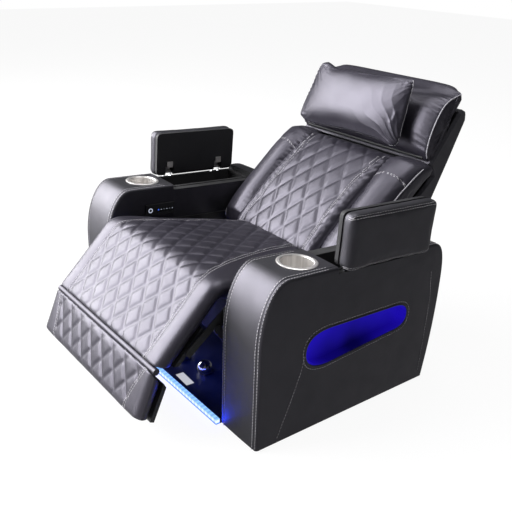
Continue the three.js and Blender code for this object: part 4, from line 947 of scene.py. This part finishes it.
# A quilted pad: half its width over all, of its underside and of its quilt; the quilt's columns and the pitch
# of its diamonds; how far its middle is domed; and where along the pad the diamonds start
Pad = namedtuple("Pad", "half inner_half quilt_half columns pitch crown phase")
# Steps round the underside, the side and the plain border, and how the border's steps crowd
UNDER_STEPS, SIDE_STEPS, BORDER_STEPS, BORDER_CROWD = 6, 6, 12, 1.3
SEAM_DROP, BRIM_DEPTH, INFLATE_PAD = 3.0, 4, 0.0025
FADE_LENGTH, FADE_POWER = 20, 1.3


def pad_section(pad):
    """Round a pad: (x, kind, share) for each step, from the middle of its underside and back to it"""
    steps = pad.columns * CELL
    right = [(pad.inner_half * i / UNDER_STEPS, "under", 0.0) for i in range(UNDER_STEPS + 1)]
    for i in range(1, SIDE_STEPS + 1):
        out = sin(i / SIDE_STEPS * pi / 2)
        right.append((pad.inner_half + (pad.half - pad.inner_half) * out, "side", i / SIDE_STEPS))
    for i in range(1, BORDER_STEPS):
        inward = (i / BORDER_STEPS) ** BORDER_CROWD
        right.append((pad.half - (pad.half - pad.quilt_half) * inward, "border", 0.0))
    top = [(pad.quilt_half - 2 * pad.quilt_half * i / steps, "quilt", i / steps) for i in range(steps + 1)]
    left = [(-x, kind, share) for x, kind, share in reversed(right)]
    return right + top + left


def end_drop(along, low, high, radius):
    d = min(along - low, high - along)
    return radius * (1 - sqrt(max(0.0, 1 - (1 - d / radius) ** 2))) if d < radius else 0.0


def quilted_pad(name, path, low, high, pad, to_world, ends, waist, beyond, avoid=None):
    """A quilted pad along a side path, its diamonds sewn down before the leather is blown out.

    ends(along) is the drop at its ends, waist(along) half the quilted width, and beyond(over, edge, along)
    the height outside it, `over` from the seam and `edge` from the pad's side. avoid(obj) keeps it clear of
    what turns beside it.
    """
    half, pitch, quilt_half = pad.half, pad.pitch, pad.quilt_half
    section = pad_section(pad)
    depth = looks().quilt_depth / MM
    pitch_across = 2 * quilt_half / pad.columns
    cell = pitch_across / CELL
    rows = round((high - low) / (pitch / CELL))
    high = low + rows * pitch / CELL
    phase = round((low + pad.phase) / (pitch / CELL)) * pitch / CELL - low

    def lookup(a, along):
        x, kind, share = section[min(round(a * (len(section) - 1)), len(section) - 1)]
        seam = waist(along)
        if kind == "quilt" and abs(abs(x) - seam) <= cell * 0.5:
            x = seam if x > 0 else -seam
        return x, kind, share, abs(x) - seam

    def fading(along):
        return min(1.0, max(0.0, min(along - low, high - along) / FADE_LENGTH)) ** FADE_POWER

    def place(a, s):
        along = low + s * (high - low)
        x, kind, share, over = lookup(a, along)
        outer, inner = path.at(along)
        normal = outer - inner
        thick = normal.length
        normal.normalize()
        if kind == "under":
            h = -thick
        elif kind == "side":
            brim = beyond(half - waist(along), 0, along) - ends(along)
            h = -thick + (thick + max(brim, BRIM_DEPTH - thick)) * (1 - cos(share * pi / 2))
        elif over > 0.01:
            h = beyond(over, half - abs(x), along) - ends(along)
        else:
            near = quilt_near(x + quilt_half, along + phase, pitch_across, pitch)
            drop = SEAM_DROP if over > -0.01 else quilt_drop(near, depth) * fading(along)
            h = pad.crown * (1 - (x / quilt_half) ** 2) * fading(along) - drop - ends(along)
        p = outer + normal * max(h, -thick)
        return to_world(x, p)

    def pinned(a, s):
        along = low + s * (high - low)
        x, kind, _, over = lookup(a, along)
        if kind == "quilt" and over < 0.01:
            near = quilt_near(x + quilt_half, along + phase, pitch_across, pitch)
            return over > -0.01 or near < 0.01 or s in (0.0, 1.0)
        return kind in ("under", "side") or s in (0.0, 1.0)

    bm = skin(len(section) - 1, rows, place, pinned)
    obj = piece(name, bm, MATERIALS["seat"])
    inflate(obj, looks().pressure / 4, INFLATE_PAD)
    if avoid:
        avoid(obj)
    refine(obj)
    return obj


def chair_point(x, p):
    return CHAIR @ Vector((x, p.x, p.y))


def keep_out(centre_y, centre_z, radius):
    """Keeps a cushion outside the round path of what turns beside it"""
    axis = CHAIR @ Vector((0, centre_y, centre_z))

    def move(obj):
        for v in obj.data.vertices:
            away = Vector((0, v.co.y - axis.y, v.co.z - axis.z))
            if away.length < radius * MM:
                away.normalize()
                v.co = Vector((v.co.x, 0, 0)) + Vector((0, axis.y, axis.z)) + away * radius * MM
    return move


SEAT_PAD = Pad(298, 268, QUILT_HALF, QUILT_COLUMNS, QUILT_PITCH, 6, 0)
# Half the seat's quilted width by distance from over the knee, and how its border falls away there
SEAT_WAIST = ((-30, QUILT_HALF), (30, 209), (85, 190), (167, 163), (262, 142), (355, 123), (400, 120))
SEAT_FALL = ((-40, 0.03), (110, 0.3))
SEAT_END_RADIUS, SEAT_REAR_PAST, BACK_CLEARANCE = 14, 60, 125.5
# Steps of the seat's rows of stitches, and where they start past the crease
SEAT_ROW_STEPS, SEAT_ROW_START = 59, 4


class RECLINER_OT_seat(bpy.types.Operator):
    """Makes the quilted seat, which runs over the knee and down the leg rest in one skin"""
    bl_idname = "recliner.seat"
    bl_label = "Quilted Seat"

    def execute(self, context):
        path = seat_path()
        low, high = path.low, path.high

        def waist(along):
            return span(SEAT_WAIST, along)

        def beyond(over, edge, along):
            fall = span(SEAT_FALL, along) * over
            rise = 3.5 * sin(pi * over / (over + edge + 0.01))
            return rise - 1 - fall - 13 * max(0.0, 1 - edge / 24) ** 2.2

        def ends(along):
            return end_drop(along, low, high + SEAT_REAR_PAST, SEAT_END_RADIUS)

        def row(sign, offset, step):
            along = low + SEAT_ROW_START + (high - low - SEAT_ROW_START) * step / SEAT_ROW_STEPS
            outer, inner = path.at(along)
            return chair_point(sign * (waist(along) + offset), outer + (outer - inner).normalized())

        seat = quilted_pad("quilted_seat", path, low, high, SEAT_PAD, chair_point, ends, waist, beyond,
                           keep_out(PIVOT_Y, PIVOT_Z, BACK_CLEARANCE))
        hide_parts("seat_cushion", "leg_pad")
        stitches = pad_stitches("seat_stitches", seat, (-4, 4.5), range(SEAT_ROW_STEPS + 1), row)
        for obj in (seat, stitches):
            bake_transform(obj)
        return {"FINISHED"}


FOOT_LENGTH, FOOT_TOP, FOOT_BOTTOM = 138, 12, -34
FOOT_COLUMNS = QUILT_COLUMNS + 1
FOOT_PAD = Pad(296, 266, QUILT_HALF * FOOT_COLUMNS / QUILT_COLUMNS, FOOT_COLUMNS, QUILT_PITCH, 6,
               QUILT_PITCH / 2 - LEG_LENGTH)
# Half the foot pad's quilted width at its far end, and how much it widens to the crease
FOOT_WAIST, FOOT_FLARE = 222, 40
# The leather roll in the crease: half its length, its height on the leg rest and its radius in metres
ROLL_HALF, ROLL_RISE, ROLL_RADIUS, ROLL_STEP = 290, 62, 0.0095, 0.01


def foot_path():
    """The foot pad's side; its underside ends FOLD_ROOM before its top, so that it can fold back"""
    pairs = []
    for i in range(STRAIGHT_STEPS + 1):
        y = -FOOT_LENGTH * (1 - i / STRAIGHT_STEPS)
        room = FOLD_ROOM * max(0.0, (i - STRAIGHT_STEPS + FOLD_STEPS) / FOLD_STEPS)
        pairs.append((Vector((y, FOOT_TOP)), Vector((y - room, FOOT_BOTTOM))))
    return SidePath(pairs, STRAIGHT_STEPS)


class RECLINER_OT_foot(bpy.types.Operator):
    """Makes the quilted foot pad under the crease"""
    bl_idname = "recliner.foot"
    bl_label = "Quilted Foot Pad"

    def execute(self, context):
        def waist(along):
            return FOOT_WAIST + FOOT_FLARE * max(0.0, 1 + along / FOOT_LENGTH) ** 1.6

        def ends(along):
            """A round far end, and a tighter one at the crease"""
            return max(end_drop(along, -FOOT_LENGTH - 2, 60, 14), end_drop(along, -300, -0.5, 6))

        def beyond(over, edge, along):
            return 1.5 - 0.03 * over - 12 * max(0.0, 1 - edge / 22) ** 2.2

        def row(sign, offset, y):
            return FOOT @ Vector((sign * (waist(y) + offset), y, FOOT_TOP + 1))

        foot = quilted_pad("quilted_foot", foot_path(), -FOOT_LENGTH, -1.5, FOOT_PAD,
                           lambda x, p: FOOT @ Vector((x, p.x, p.y)), ends, waist, beyond)
        crease = [LEG @ Vector((x, -LEG_LENGTH, ROLL_RISE)) for x in (-ROLL_HALF, -150, 0, 150, ROLL_HALF)]
        mount(welt("crease_roll", [resample(crease, ROLL_STEP)], ROLL_RADIUS, MATERIALS["seat"]), "leg_rest")
        mount(pad_stitches("foot_stitches", foot, (-3.5, 4), range(-132, -3, 6), row), "foot_flap")
        dress(foot, "foot_flap", "foot_pad")
        return {"FINISHED"}


BACK_PAD = Pad(194, 173.5, 171, 5, 112, 8, 0)
# Front line of the back panel from its knuckle up; the knuckle's outer and inner radius and turn; the rear
BACK_LINE = ((-112, 0), (-113, 63), (-114, 137), (-108, 232), (-96, 317), (-72, 382))
KNUCKLE_RADII, KNUCKLE_STEPS, KNUCKLE_TURN, PANEL_REAR = (112, 34), 6, 0.75, -12.3
# Half the panel's quilted width where it is narrowest, how much it widens, and over what length
BACK_WAIST, BACK_FLARE, BACK_NARROW, BACK_REACH = 147, 12, 140, 230
BACK_END_RADIUS = 24


class RECLINER_OT_back(bpy.types.Operator):
    """Makes the quilted panel in the middle of the back"""
    bl_idname = "recliner.back"
    bl_label = "Quilted Back"

    def execute(self, context):
        pairs = []
        for i in range(KNUCKLE_STEPS, 0, -1):
            turn = pi + i / KNUCKLE_STEPS * KNUCKLE_TURN
            pairs.append(tuple(Vector((r * cos(turn), r * sin(turn))) for r in KNUCKLE_RADII))
        pairs += [(p, Vector((PANEL_REAR, p.y))) for p in catmull(BACK_LINE, 8)]
        path = SidePath(pairs, KNUCKLE_STEPS)
        low, high = path.low, path.high

        def waist(along):
            return BACK_WAIST + BACK_FLARE * (abs(along - BACK_NARROW) / BACK_REACH) ** 2

        def pleats(over, edge, along):
            share = over / (over + edge + 0.01)
            folds = 1.5 + 6 * abs(sin(along / 7.5 + 1.7 * sin(along / 31) - over / 14)) ** 0.7
            return folds * sin(pi * min(1, share * 1.2)) ** 0.5 - 2 - 17 * share ** 2.5

        def row(sign, offset, z):
            return BACK @ Vector((sign * (waist(z) + offset), -114, z))

        back = quilted_pad("quilted_back", path, low, high, BACK_PAD,
                           lambda x, p: BACK @ Vector((x, p.x, p.y)),
                           lambda along: end_drop(along, low - 40, high, BACK_END_RADIUS), waist, pleats)
        dress(back, "back", "back_panel")
        mount(pad_stitches("back_stitches", back, (-3, 4), range(-60, 366, 8), row), "back")
        return {"FINISHED"}


def soft_copy(name, node_name, voxel, cap, material="seat"):
    """A padded piece grown from its CAD solid"""
    obj = piece(name, from_node(node_name), MATERIALS[material])
    remesh(obj, voxel)
    relax(obj)
    inflate(obj, looks().pressure, cap)
    return refine(obj)


def gathers(along, away, step, depth, reach):
    """Small folds that run away from a seam: `along` it and `away` from it, in millimetres"""
    away = max(0.0, away)
    wander = 0.8 * sin(along / (step * 2.3)) + 0.5 * sin(along / (step * 0.9) + 1)
    return depth * sin(2 * pi * along / step + wander) * exp(-away / reach) * min(1.0, away / 4)


# The seam that crosses each bolster, across and up the back, and the piped edge at its outer side
BOLSTER_SEAM = ((176, 234), (184, 262), (208, 281), (243, 290), (277, 291), (303, 286))
BOLSTER_FACE, BOLSTER_EDGE = -84, 302


class RECLINER_OT_bolsters(bpy.types.Operator):
    """Makes the rolled bolsters beside the quilted back"""
    bl_idname = "recliner.bolsters"
    bl_label = "Back Bolsters"

    def execute(self, context):
        arch = catmull(BOLSTER_SEAM, 6)
        for side, sign in SIDES:
            obj = soft_copy(f"bolster_{side}", f"back_bolster_{side}", 0.005, 0.005)
            seam = [BACK @ Vector((sign * p.x, BOLSTER_FACE, p.y)) for p in arch]
            edge = []
            for z in range(-36, 372, 8):
                y = -78 + 22 * max(0, abs(z - 165) / 215) ** 3
                edge.append(BACK @ Vector((sign * BOLSTER_EDGE, y, z)))
            press(obj, [seam], 0.005, 0.004)
            press(obj, [edge], 0.004, 0.003)

            def relief(p, n):
                clear = min(1.0, max(0.0, (abs(p.x) - 190) / 40))
                full = 5 * max(0.0, n.x * sign) ** 2 + 8 * clear * max(0.0, -n.y) ** 2
                full += 7 * max(0.0, n.z) ** 2
                return full + (gathers(p.z, abs(abs(p.x) - 178), 17, 2.2, 11) if n.y < 0.3 else 0.0)

            emboss(obj, BACK, relief)
            dress(obj, "back", f"back_bolster_{side}")
            tree = surface_of(obj)
            bm = bmesh.new()
            for rise in (0.003, -0.003):
                thread(bm, tree, [p + Vector((0, 0, rise)) for p in seam])
            mount(stitch_piece(f"bolster_stitches_{side}", bm), "back")
            place_piping(f"bolster_piping_{side}", obj, [edge], "back")
        return {"FINISHED"}


# Side outline of the headrest from its lower front corner: up the sewn front, then up the rear
HEAD_SIDE_FRONT = [(-6, -4), (-25, 12), (-47, 60), (-59, 126), (-50, 172), (-16, 217)]
HEAD_SIDE_REAR = [(-6, -4), (14, -5), (24, 45), (10, 120), (-4, 156), (-16, 217)]
HEAD_HALF, HEAD_COLUMNS = 281, 64
# In metres: the two folds that round each side panel, as inset and depth
PANEL_FOLDS = ((0.012, 0.004), (0.014, 0.001))

PILLOW_HALF, PILLOW_HEIGHT, PILLOW_FRONT, PILLOW_BACK = 225, 201, 52, 18.6


def pillow_place(u, v, face):
    """A point of the pillow: u across and v up from -1 to 1, face 1 for the front and -1 for the back"""
    corner = (34 if v < 0 else 20) if u < 0 else 10
    round_off = corner * abs(u) ** 7 * abs(v) ** 7
    sag = 0.08 if v > 0 else 0.06
    x = u * PILLOW_HALF * (1 - 0.035 * (1 - v * v)) - (round_off if u > 0 else -round_off) - 10
    z = v * PILLOW_HEIGHT / 2 * (1 - sag * (1 - u ** 4)) - (round_off if v > 0 else -round_off) + 7
    z -= 15 * max(v, 0.0) ** 3 * exp(-((u + 0.6) / 0.25) ** 2)
    z -= 9 * max(-v, 0.0) ** 3 * exp(-((u - 0.9) / 0.14) ** 2)
    left, right_top = max(0.0, -u), max(0.0, u) * max(0.0, v)
    x += left * (5 + 25 * v) - 10 * right_top
    z += left * 18 * v + 8 * right_top
    low = (v + 0.22) / (1.22 if v > -0.22 else 0.78)
    bulge = max(0.0, (1 - abs(u) ** 2.6) * (1 - abs(low) ** 2.1)) ** 0.5 * (1 + 0.1 * u)
    y = -PILLOW_FRONT * bulge if face > 0 else PILLOW_BACK * bulge
    return Vector((x, y, z - PILLOW_HEIGHT / 2))


# Folds that fan out of the pillow's corners: corner, folds in a radian, depth and reach in millimetres
PILLOW_FOLDS = ((1, -1, 15, 5.0, 75), (-1, 1, 13, 3.6, 42), (1, 1, 12, 2.6, 40), (-1, -1, 10, 1.6, 35))


def pillow_folds(p, _normal):
    z = p.z + PILLOW_HEIGHT / 2
    if p.y > 1:
        return 0.0
    total = gathers(z, PILLOW_HALF - abs(p.x), 15, 1.5, 14)
    total += gathers(p.x, PILLOW_HEIGHT / 2 - abs(z), 19, 0.7, 9)
    for cu, cv, folds, depth, reach in PILLOW_FOLDS:
        dx, dz = cu * PILLOW_HALF - p.x, cv * PILLOW_HEIGHT / 2 - z
        r, turn = hypot(dx, dz), atan2(dz * cv, dx * cu)
        wave = sin(folds * turn + 0.6 * sin(r / 19) + cu)
        total -= depth * (1 - abs(wave)) ** 1.5 * exp(-r / reach) * min(1.0, r / 28)
    return total


class RECLINER_OT_headrest(bpy.types.Operator):
    """Makes the headrest and the pillow that hangs over it"""
    bl_idname = "recliner.headrest"
    bl_label = "Headrest and Pillow"

    def execute(self, context):
        obj = piece("headrest", self.body(), MATERIALS["seat"])
        inflate(obj, looks().pressure, 0.006)
        refine(obj)

        def folds(p, n):
            side = 276 - abs(p.x)
            if n.y > 0.5 or side > 90:
                return 0.0
            return gathers(p.z + 0.3 * p.y, max(side, 0.0) + max(0.0, (p.y + 45) * 0.6), 14, 2.8, 24)

        emboss(obj, HEAD, folds)
        dress(obj, "headrest", "headrest_pad")
        front = catmull(HEAD_SIDE_FRONT, 6)
        seams = [[HEAD @ Vector((sign * HEAD_HALF, *p)) for p in front] for sign in (1, -1)]
        place_piping("headrest_piping", obj, seams, "headrest")
        self.pillow()
        return {"FINISHED"}

    def body(self):
        """The stuffed headrest: a full front between two gathered side panels that close to a point on top"""
        front = catmull(HEAD_SIDE_FRONT, 6)
        rear = catmull(HEAD_SIDE_REAR, 6)
        loop = front + rear[::-1][1:-1]
        top = len(front) - 1
        count = len(loop)

        def place(a, s):
            u = 2 * a - 1
            i = round(s * count) % count
            p = loop[i]
            inward = min(1.0, (1 - abs(u)) * HEAD_HALF / 60)
            swell = sin(inward * pi / 2)
            on_front = i / top if i <= top else 0.0
            out = Vector((0, 0))
            if on_front:
                out = Vector((-1, 0.1)) * 19 * swell * sin(pi * on_front) ** 0.85
            if i >= top - 2:
                out += Vector((0, 23 * swell * max(0.0, 1 - abs(i - top) / 7)))
            return HEAD @ Vector((u * HEAD_HALF, *(p + out)))

        def pinned(a, s):
            i = round(s * count) % count
            return a in (0.0, 1.0) or i > top or i == 0

        bm = skin(HEAD_COLUMNS, count, place, pinned)
        for side in (1, -1):
            face = next(f for f in bm.faces if len(f.verts) > 8 and f.calc_center_median().x * side > 0)
            for inset, depth in PANEL_FOLDS:
                bmesh.ops.inset_individual(bm, faces=[face], thickness=inset, depth=depth)
        return bm

    def pillow(self):
        def spread(t):
            return 0.7 * t + 0.3 * sin(t * pi / 2)

        def place(a, s):
            u = spread(2 * s - 1)
            v = spread(1 - 4 * a) if a <= 0.5 else spread(4 * a - 3)
            return PILLOW @ pillow_place(u, v, 1 if a <= 0.5 else -1)

        def pinned(a, s):
            return s in (0.0, 1.0) or round(a * 96) in (0, 48, 96)

        bm = skin(96, 90, place, pinned)
        obj = piece("neck_pillow", bm, MATERIALS["seat"])
        inflate(obj, looks().pressure, 0.0015)
        refine(obj)
        emboss(obj, PILLOW, pillow_folds)
        dress(obj, "pillow", "pillow")
        for name, sides, material in (("pillow_piping", (1, 2), "piping"), ("pillow_welt", (3, 0), "seat")):
            rim = []
            for edge in sides:
                for i in range(41):
                    t = spread(i / 20 - 1)
                    u, v = ((t, 1), (1, -t), (-t, -1), (-1, t))[edge]
                    rim.append(PILLOW @ pillow_place(u, v, 1))
            place_piping(name, obj, [rim], "pillow", material)


# Drops below a lid's top edge, in millimetres: its two seams and the rows of stitches beside them
LID_SEAMS, LID_ROWS = (9, 146), (5.5, 12.5, 142.5, 149.5)


class RECLINER_OT_lids(bpy.types.Operator):
    """Pads the two storage lids"""
    bl_idname = "recliner.lids"
    bl_label = "Storage Lids"

    def execute(self, context):
        for side, sign in SIDES:
            obj = soft_copy(f"lid_cushion_{side}", f"lid_pad_{side}", 0.005, 0.003, "arm")
            lo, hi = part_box(f"lid_pad_{side}")
            outer = hi.x if sign > 0 else lo.x
            slope = tan(radians(ARM_SLOPE))

            def level(y, down):
                return Vector((0, y, hi.z - down * MM - (y - lo.y) * slope))

            def loop(down):
                """Along the outer face and round both ends, `down` below the top edge"""
                mid = (lo.x + hi.x) / 2
                front = [Vector((mid + (outer - mid) * t, 0, 0)) + level(lo.y, down) for t in (0.2, 0.5, 0.8)]
                places = [lo.y + (hi.y - lo.y) * t / 40 for t in range(1, 40)]
                along = [Vector((outer, 0, 0)) + level(y, down) for y in places]
                rear = [Vector((mid + (outer - mid) * t, 0, 0)) + level(hi.y, down) for t in (0.8, 0.5, 0.2)]
                return front + along + rear

            press(obj, [loop(down) for down in LID_SEAMS], 0.003, 0.002)
            dress(obj, f"lid_{side}", f"lid_pad_{side}")
            tree = surface_of(obj)
            bm = bmesh.new()
            for down in LID_ROWS:
                thread(bm, tree, loop(down))
            mount(stitch_piece(f"lid_stitches_{side}", bm), f"lid_{side}")
        return {"FINISHED"}


CAD_FINISHES = {
    "lining": ("arm_frame_left", "arm_frame_right", "storage_bin_left", "storage_bin_right", "seat_apron"),
    "steel_bar": ("headrest_bar",),
    "board": ("lid_board_left", "lid_board_right", "seat_deck", "leg_board", "foot_board"),
    "plastic": ("arm_base_left", "arm_base_right", "base_tray", "footrest_motor", "recline_motor"),
    "stainless": ("cup_holder_left", "cup_holder_right"),
    "chrome": ("hinge_rail_left", "hinge_rail_right", "footrest_rod", "recline_rod"),
    "satin": ("lid_hinge_front_left", "lid_hinge_front_right", "lid_hinge_rear_left", "lid_hinge_rear_right"),
    "steel": ("side_plate_left", "side_plate_right", "front_cross_tube", "rear_cross_tube",
              "leg_bracket_left", "leg_bracket_right", "footrest_link_left", "footrest_link_right",
              "drive_tube", "back_frame", "control_bezel"),
    "arm": ("arm_cover_left", "arm_cover_right", "back_shell"),
    "seat": ("seat_cushion", "leg_pad", "foot_pad", "back_panel", "back_bolster_left", "back_bolster_right",
             "headrest_pad", "pillow", "lid_pad_left", "lid_pad_right"),
    "blue_left": ("side_light_left",),
    "blue_right": ("side_light_right",),
    "white": ("light_strip",),
    **{name: (name,) for name, _, _, _ in KEY_MARKS},
}


# On the tray, in metres: the blank label's place, size and turn, the plug box, and the motor's foot and cap
LABEL_AT, LABEL_SIZE, LABEL_TURN = (0.098, -0.2925), (0.066, 0.025, 0.0006), -3
PLUG_AT, PLUG_SIZE = (0.004, -0.236), (0.026, 0.034, 0.022)
MOTOR_AT, MOTOR_FOOT, CAP_RADIUS, CAP_RISE = (0.098, -0.222), (0.05, 0.03, 0.006), 0.023, 0.016


class RECLINER_OT_hardware(bpy.types.Operator):
    """Gives the CAD's own metal, plastic and board parts their finishes"""
    bl_idname = "recliner.hardware"
    bl_label = "Hardware Finishes"

    def execute(self, context):
        for finish, names in CAD_FINISHES.items():
            for name in names:
                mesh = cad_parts[name].data
                mesh.materials.clear()
                mesh.materials.append(MATERIALS[finish])
        self.tray_details()
        missed = set(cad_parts) - {n for names in CAD_FINISHES.values() for n in names}
        if missed:
            raise RuntimeError(f"nodes without a finish: {sorted(missed)}")
        return {"FINISHED"}

    def tray_details(self):
        """A blank label, a plug box, and the motor's end cap on its foot, under the raised leg rest"""
        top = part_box("base_tray")[1].z

        def on_tray(at, rise):
            return Matrix.Translation((*at, top + rise))

        label, black, cap = bmesh.new(), bmesh.new(), bmesh.new()
        turn = Matrix.Rotation(radians(LABEL_TURN), 4, "Z")
        rounded_box(label, LABEL_SIZE, on_tray(LABEL_AT, LABEL_SIZE[2] / 2) @ turn, 0.0002)
        rounded_box(black, PLUG_SIZE, on_tray(PLUG_AT, PLUG_SIZE[2] / 2), 0.002)
        rounded_box(black, MOTOR_FOOT, on_tray(MOTOR_AT, MOTOR_FOOT[2] / 2), 0.001)
        bmesh.ops.create_uvsphere(
            cap, u_segments=32, v_segments=16, radius=CAP_RADIUS, matrix=on_tray(MOTOR_AT, CAP_RISE))
        for name, bm, material in (("tray_label", label, "label"), ("tray_boxes", black, "plastic"),
                                   ("motor_cap", cap, "chrome")):
            obj = piece(name, bm, MATERIALS[material], smooth=name == "motor_cap")
            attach(obj, "root")


def rounded_box(bm, size, place, radius):
    made = bmesh.ops.create_cube(bm, size=1, matrix=place @ Matrix.Diagonal((*size, 1)))
    edges = {e for v in made["verts"] for e in v.link_edges}
    bmesh.ops.bevel(bm, geom=list(edges), offset=radius, segments=3, profile=0.5, material=-1, affect="EDGES")


# The camera fitted to the photograph: its place in metres, turns in degrees and focal length in pixels
CAMERA_AT = (1.63279, -1.24079, 1.18904)
CAMERA_AZIMUTH, CAMERA_PITCH, CAMERA_ROLL = 52.02, 23.34, 1.95
FOCAL_PIXELS, PHOTO_SIDE, SENSOR_WIDTH = 717.54, 512, 36

FLOOR_HALF, FLOOR_DROP, FLOOR_COLOUR = 12, 0.0005, (0.7, 0.7, 0.7)
# Share and strength of plain white in what the camera sees of the floor; the rest of it keeps the shadow
FLOOR_WHITE, FLOOR_STRENGTH = 0.88, 1.06
# What reflections see of the floor: its strength beside the seat and in front of it, and where it changes
FLOOR_SHINE, SHINE_FROM, SHINE_TO = (0.3, 1.0), -0.45, -0.8
WORLD_COLOUR, WORLD_STRENGTH = (0.9, 0.91, 0.92, 1), 0.1

# Softboxes: name, place, size and watts; all point at AIM
AIM = (0, 0, 0.4)
SOFTBOXES = (("front_softbox", (-2.5, -2.6, 1.8), (4.6, 2.9), 440),
             ("upper_softbox", (-2.04, -2.12, 3.52), (4.6, 0.8), 115),
             ("high_softbox", (-1.81, -1.88, 4.36), (4.6, 1.0), 60),
             ("top_softbox", (0.1, 0.4, 3.2), (2.0, 1.6), 45))
# The blue that the light strip casts back on the tray, from a lamp that is not seen itself
GLOW_AT, GLOW_SIZE, GLOW_POWER, GLOW_AIM = (0, -0.27, 0.13), (0.5, 0.03), 1.1, (0, -0.12, 0)
GLOW_COLOUR = (0.03, 0.08, 1.0)


class RECLINER_OT_stage(bpy.types.Operator):
    """Sets the floor, the soft lights and the camera at the photograph's angle"""
    bl_idname = "recliner.stage"
    bl_label = "Studio"

    def execute(self, context):
        scene = context.scene
        a, e, roll = radians(CAMERA_AZIMUTH), radians(CAMERA_PITCH), radians(CAMERA_ROLL)
        back = Vector((sin(a) * cos(e), -cos(a) * cos(e), sin(e)))
        right = Vector((cos(a), sin(a), 0))
        up = back.cross(right)
        right, up = right * cos(roll) + up * sin(roll), up * cos(roll) - right * sin(roll)
        data = bpy.data.cameras.new("photo_camera")
        data.sensor_width = SENSOR_WIDTH
        data.lens = FOCAL_PIXELS / PHOTO_SIDE * data.sensor_width
        camera = bpy.data.objects.new("photo_camera", data)
        scene.collection.objects.link(camera)
        camera.matrix_world = Matrix.Translation(CAMERA_AT) @ Matrix((right, up, back)).transposed().to_4x4()
        scene.camera = camera
        self.floor()
        self.world(scene)
        for name, place, size, power in SOFTBOXES:
            self.lamp(scene, name, place, size, power, AIM)
        glow = self.lamp(scene, "strip_glow", GLOW_AT, GLOW_SIZE, GLOW_POWER, GLOW_AIM)
        glow.data.color = GLOW_COLOUR
        glow.visible_camera = glow.visible_glossy = False
        scene.view_settings.view_transform = "Standard"
        return {"FINISHED"}

    def floor(self):
        """White to the camera, with the seat's shadow; dimmer in reflections beside and behind the seat"""
        bm = bmesh.new()
        bmesh.ops.create_grid(bm, x_segments=1, y_segments=1, size=FLOOR_HALF)
        bmesh.ops.translate(bm, verts=bm.verts, vec=(0, 0, -FLOOR_DROP))
        material, tree, shader = start_material("studio_floor", FLOOR_COLOUR, Roughness=0.9)
        shader.inputs["Specular IOR Level"].default_value = 0.1
        light = node(tree, "Emission", i0=(1, 1, 1, 1), i1=FLOOR_STRENGTH)
        path = node(tree, "LightPath")
        share = node(tree, "Math", [(0, path.outputs["Is Camera Ray"])], operation="MULTIPLY", i1=FLOOR_WHITE)
        mix = node(tree, "MixShader", [(0, share.outputs[0]), (1, shader.outputs[0]), (2, light.outputs[0])])
        place = node(tree, "SeparateXYZ", [(0, node(tree, "TexCoord").outputs["Object"])])
        near = node(tree, "MapRange", [(0, place.outputs[1])], i1=SHINE_FROM, i2=SHINE_TO, i3=FLOOR_SHINE[0],
                    i4=FLOOR_SHINE[1])
        shine = node(tree, "Emission", [(1, near.outputs[0])])
        mirrored = node(tree, "MixShader",
                        [(0, path.outputs["Is Glossy Ray"]), (1, mix.outputs[0]), (2, shine.outputs[0])])
        tree.links.new(mirrored.outputs[0], tree.nodes["Material Output"].inputs[0])
        piece("studio_floor", bm, material, smooth=False)

    def world(self, scene):
        """White to the camera, and a faint even light for everything else"""
        world = bpy.data.worlds.new("studio")
        scene.world = world
        world.use_nodes = True
        tree = world.node_tree
        tree.nodes.clear()
        end = tree.nodes.new("ShaderNodeOutputWorld")
        soft = node(tree, "Background", i0=WORLD_COLOUR, i1=WORLD_STRENGTH)
        seen = node(tree, "Background", i0=(1, 1, 1, 1), i1=1.0)
        path = node(tree, "LightPath")
        mix = node(tree, "MixShader",
                   [(0, path.outputs["Is Camera Ray"]), (1, soft.outputs[0]), (2, seen.outputs[0])])
        tree.links.new(mix.outputs[0], end.inputs[0])

    def lamp(self, scene, name, place, size, power, aim):
        data = bpy.data.lights.new(name, "AREA")
        data.shape = "RECTANGLE"
        data.size, data.size_y = size
        data.energy = power
        lamp = bpy.data.objects.new(name, data)
        scene.collection.objects.link(lamp)
        turn = (Vector(aim) - Vector(place)).to_track_quat("-Z", "Y")
        lamp.matrix_world = Matrix.Translation(place) @ turn.to_matrix().to_4x4()
        return lamp


class RECLINER_PT_panel(bpy.types.Panel):
    """Lists the recliner's pieces and looks"""
    bl_idname = "RECLINER_PT_panel"
    bl_label = "Cinema Recliner"
    bl_space_type = "VIEW_3D"
    bl_region_type = "UI"
    bl_category = "Recliner"

    def draw(self, context):
        layout = self.layout
        for name in ReclinerLooks.__annotations__:
            layout.prop(context.scene.recliner_looks, name)
        for kind in STEPS:
            layout.operator(kind.bl_idname)


STEPS = (RECLINER_OT_stage, RECLINER_OT_hardware, RECLINER_OT_arms, RECLINER_OT_seat, RECLINER_OT_foot,
         RECLINER_OT_back, RECLINER_OT_bolsters, RECLINER_OT_headrest, RECLINER_OT_lids)
CLASSES = (ReclinerLooks, *STEPS, RECLINER_PT_panel)


def register():
    for kind in CLASSES:
        bpy.utils.register_class(kind)
    bpy.types.Scene.recliner_looks = bpy.props.PointerProperty(type=ReclinerLooks)


def unregister():
    del bpy.types.Scene.recliner_looks
    for kind in reversed(CLASSES):
        bpy.utils.unregister_class(kind)


def main():
    register()
    make_materials(looks())
    for kind in STEPS:
        operator = getattr(bpy.ops.recliner, kind.bl_idname.split(".")[1])
        operator()


if __name__ == "__main__":
    main()
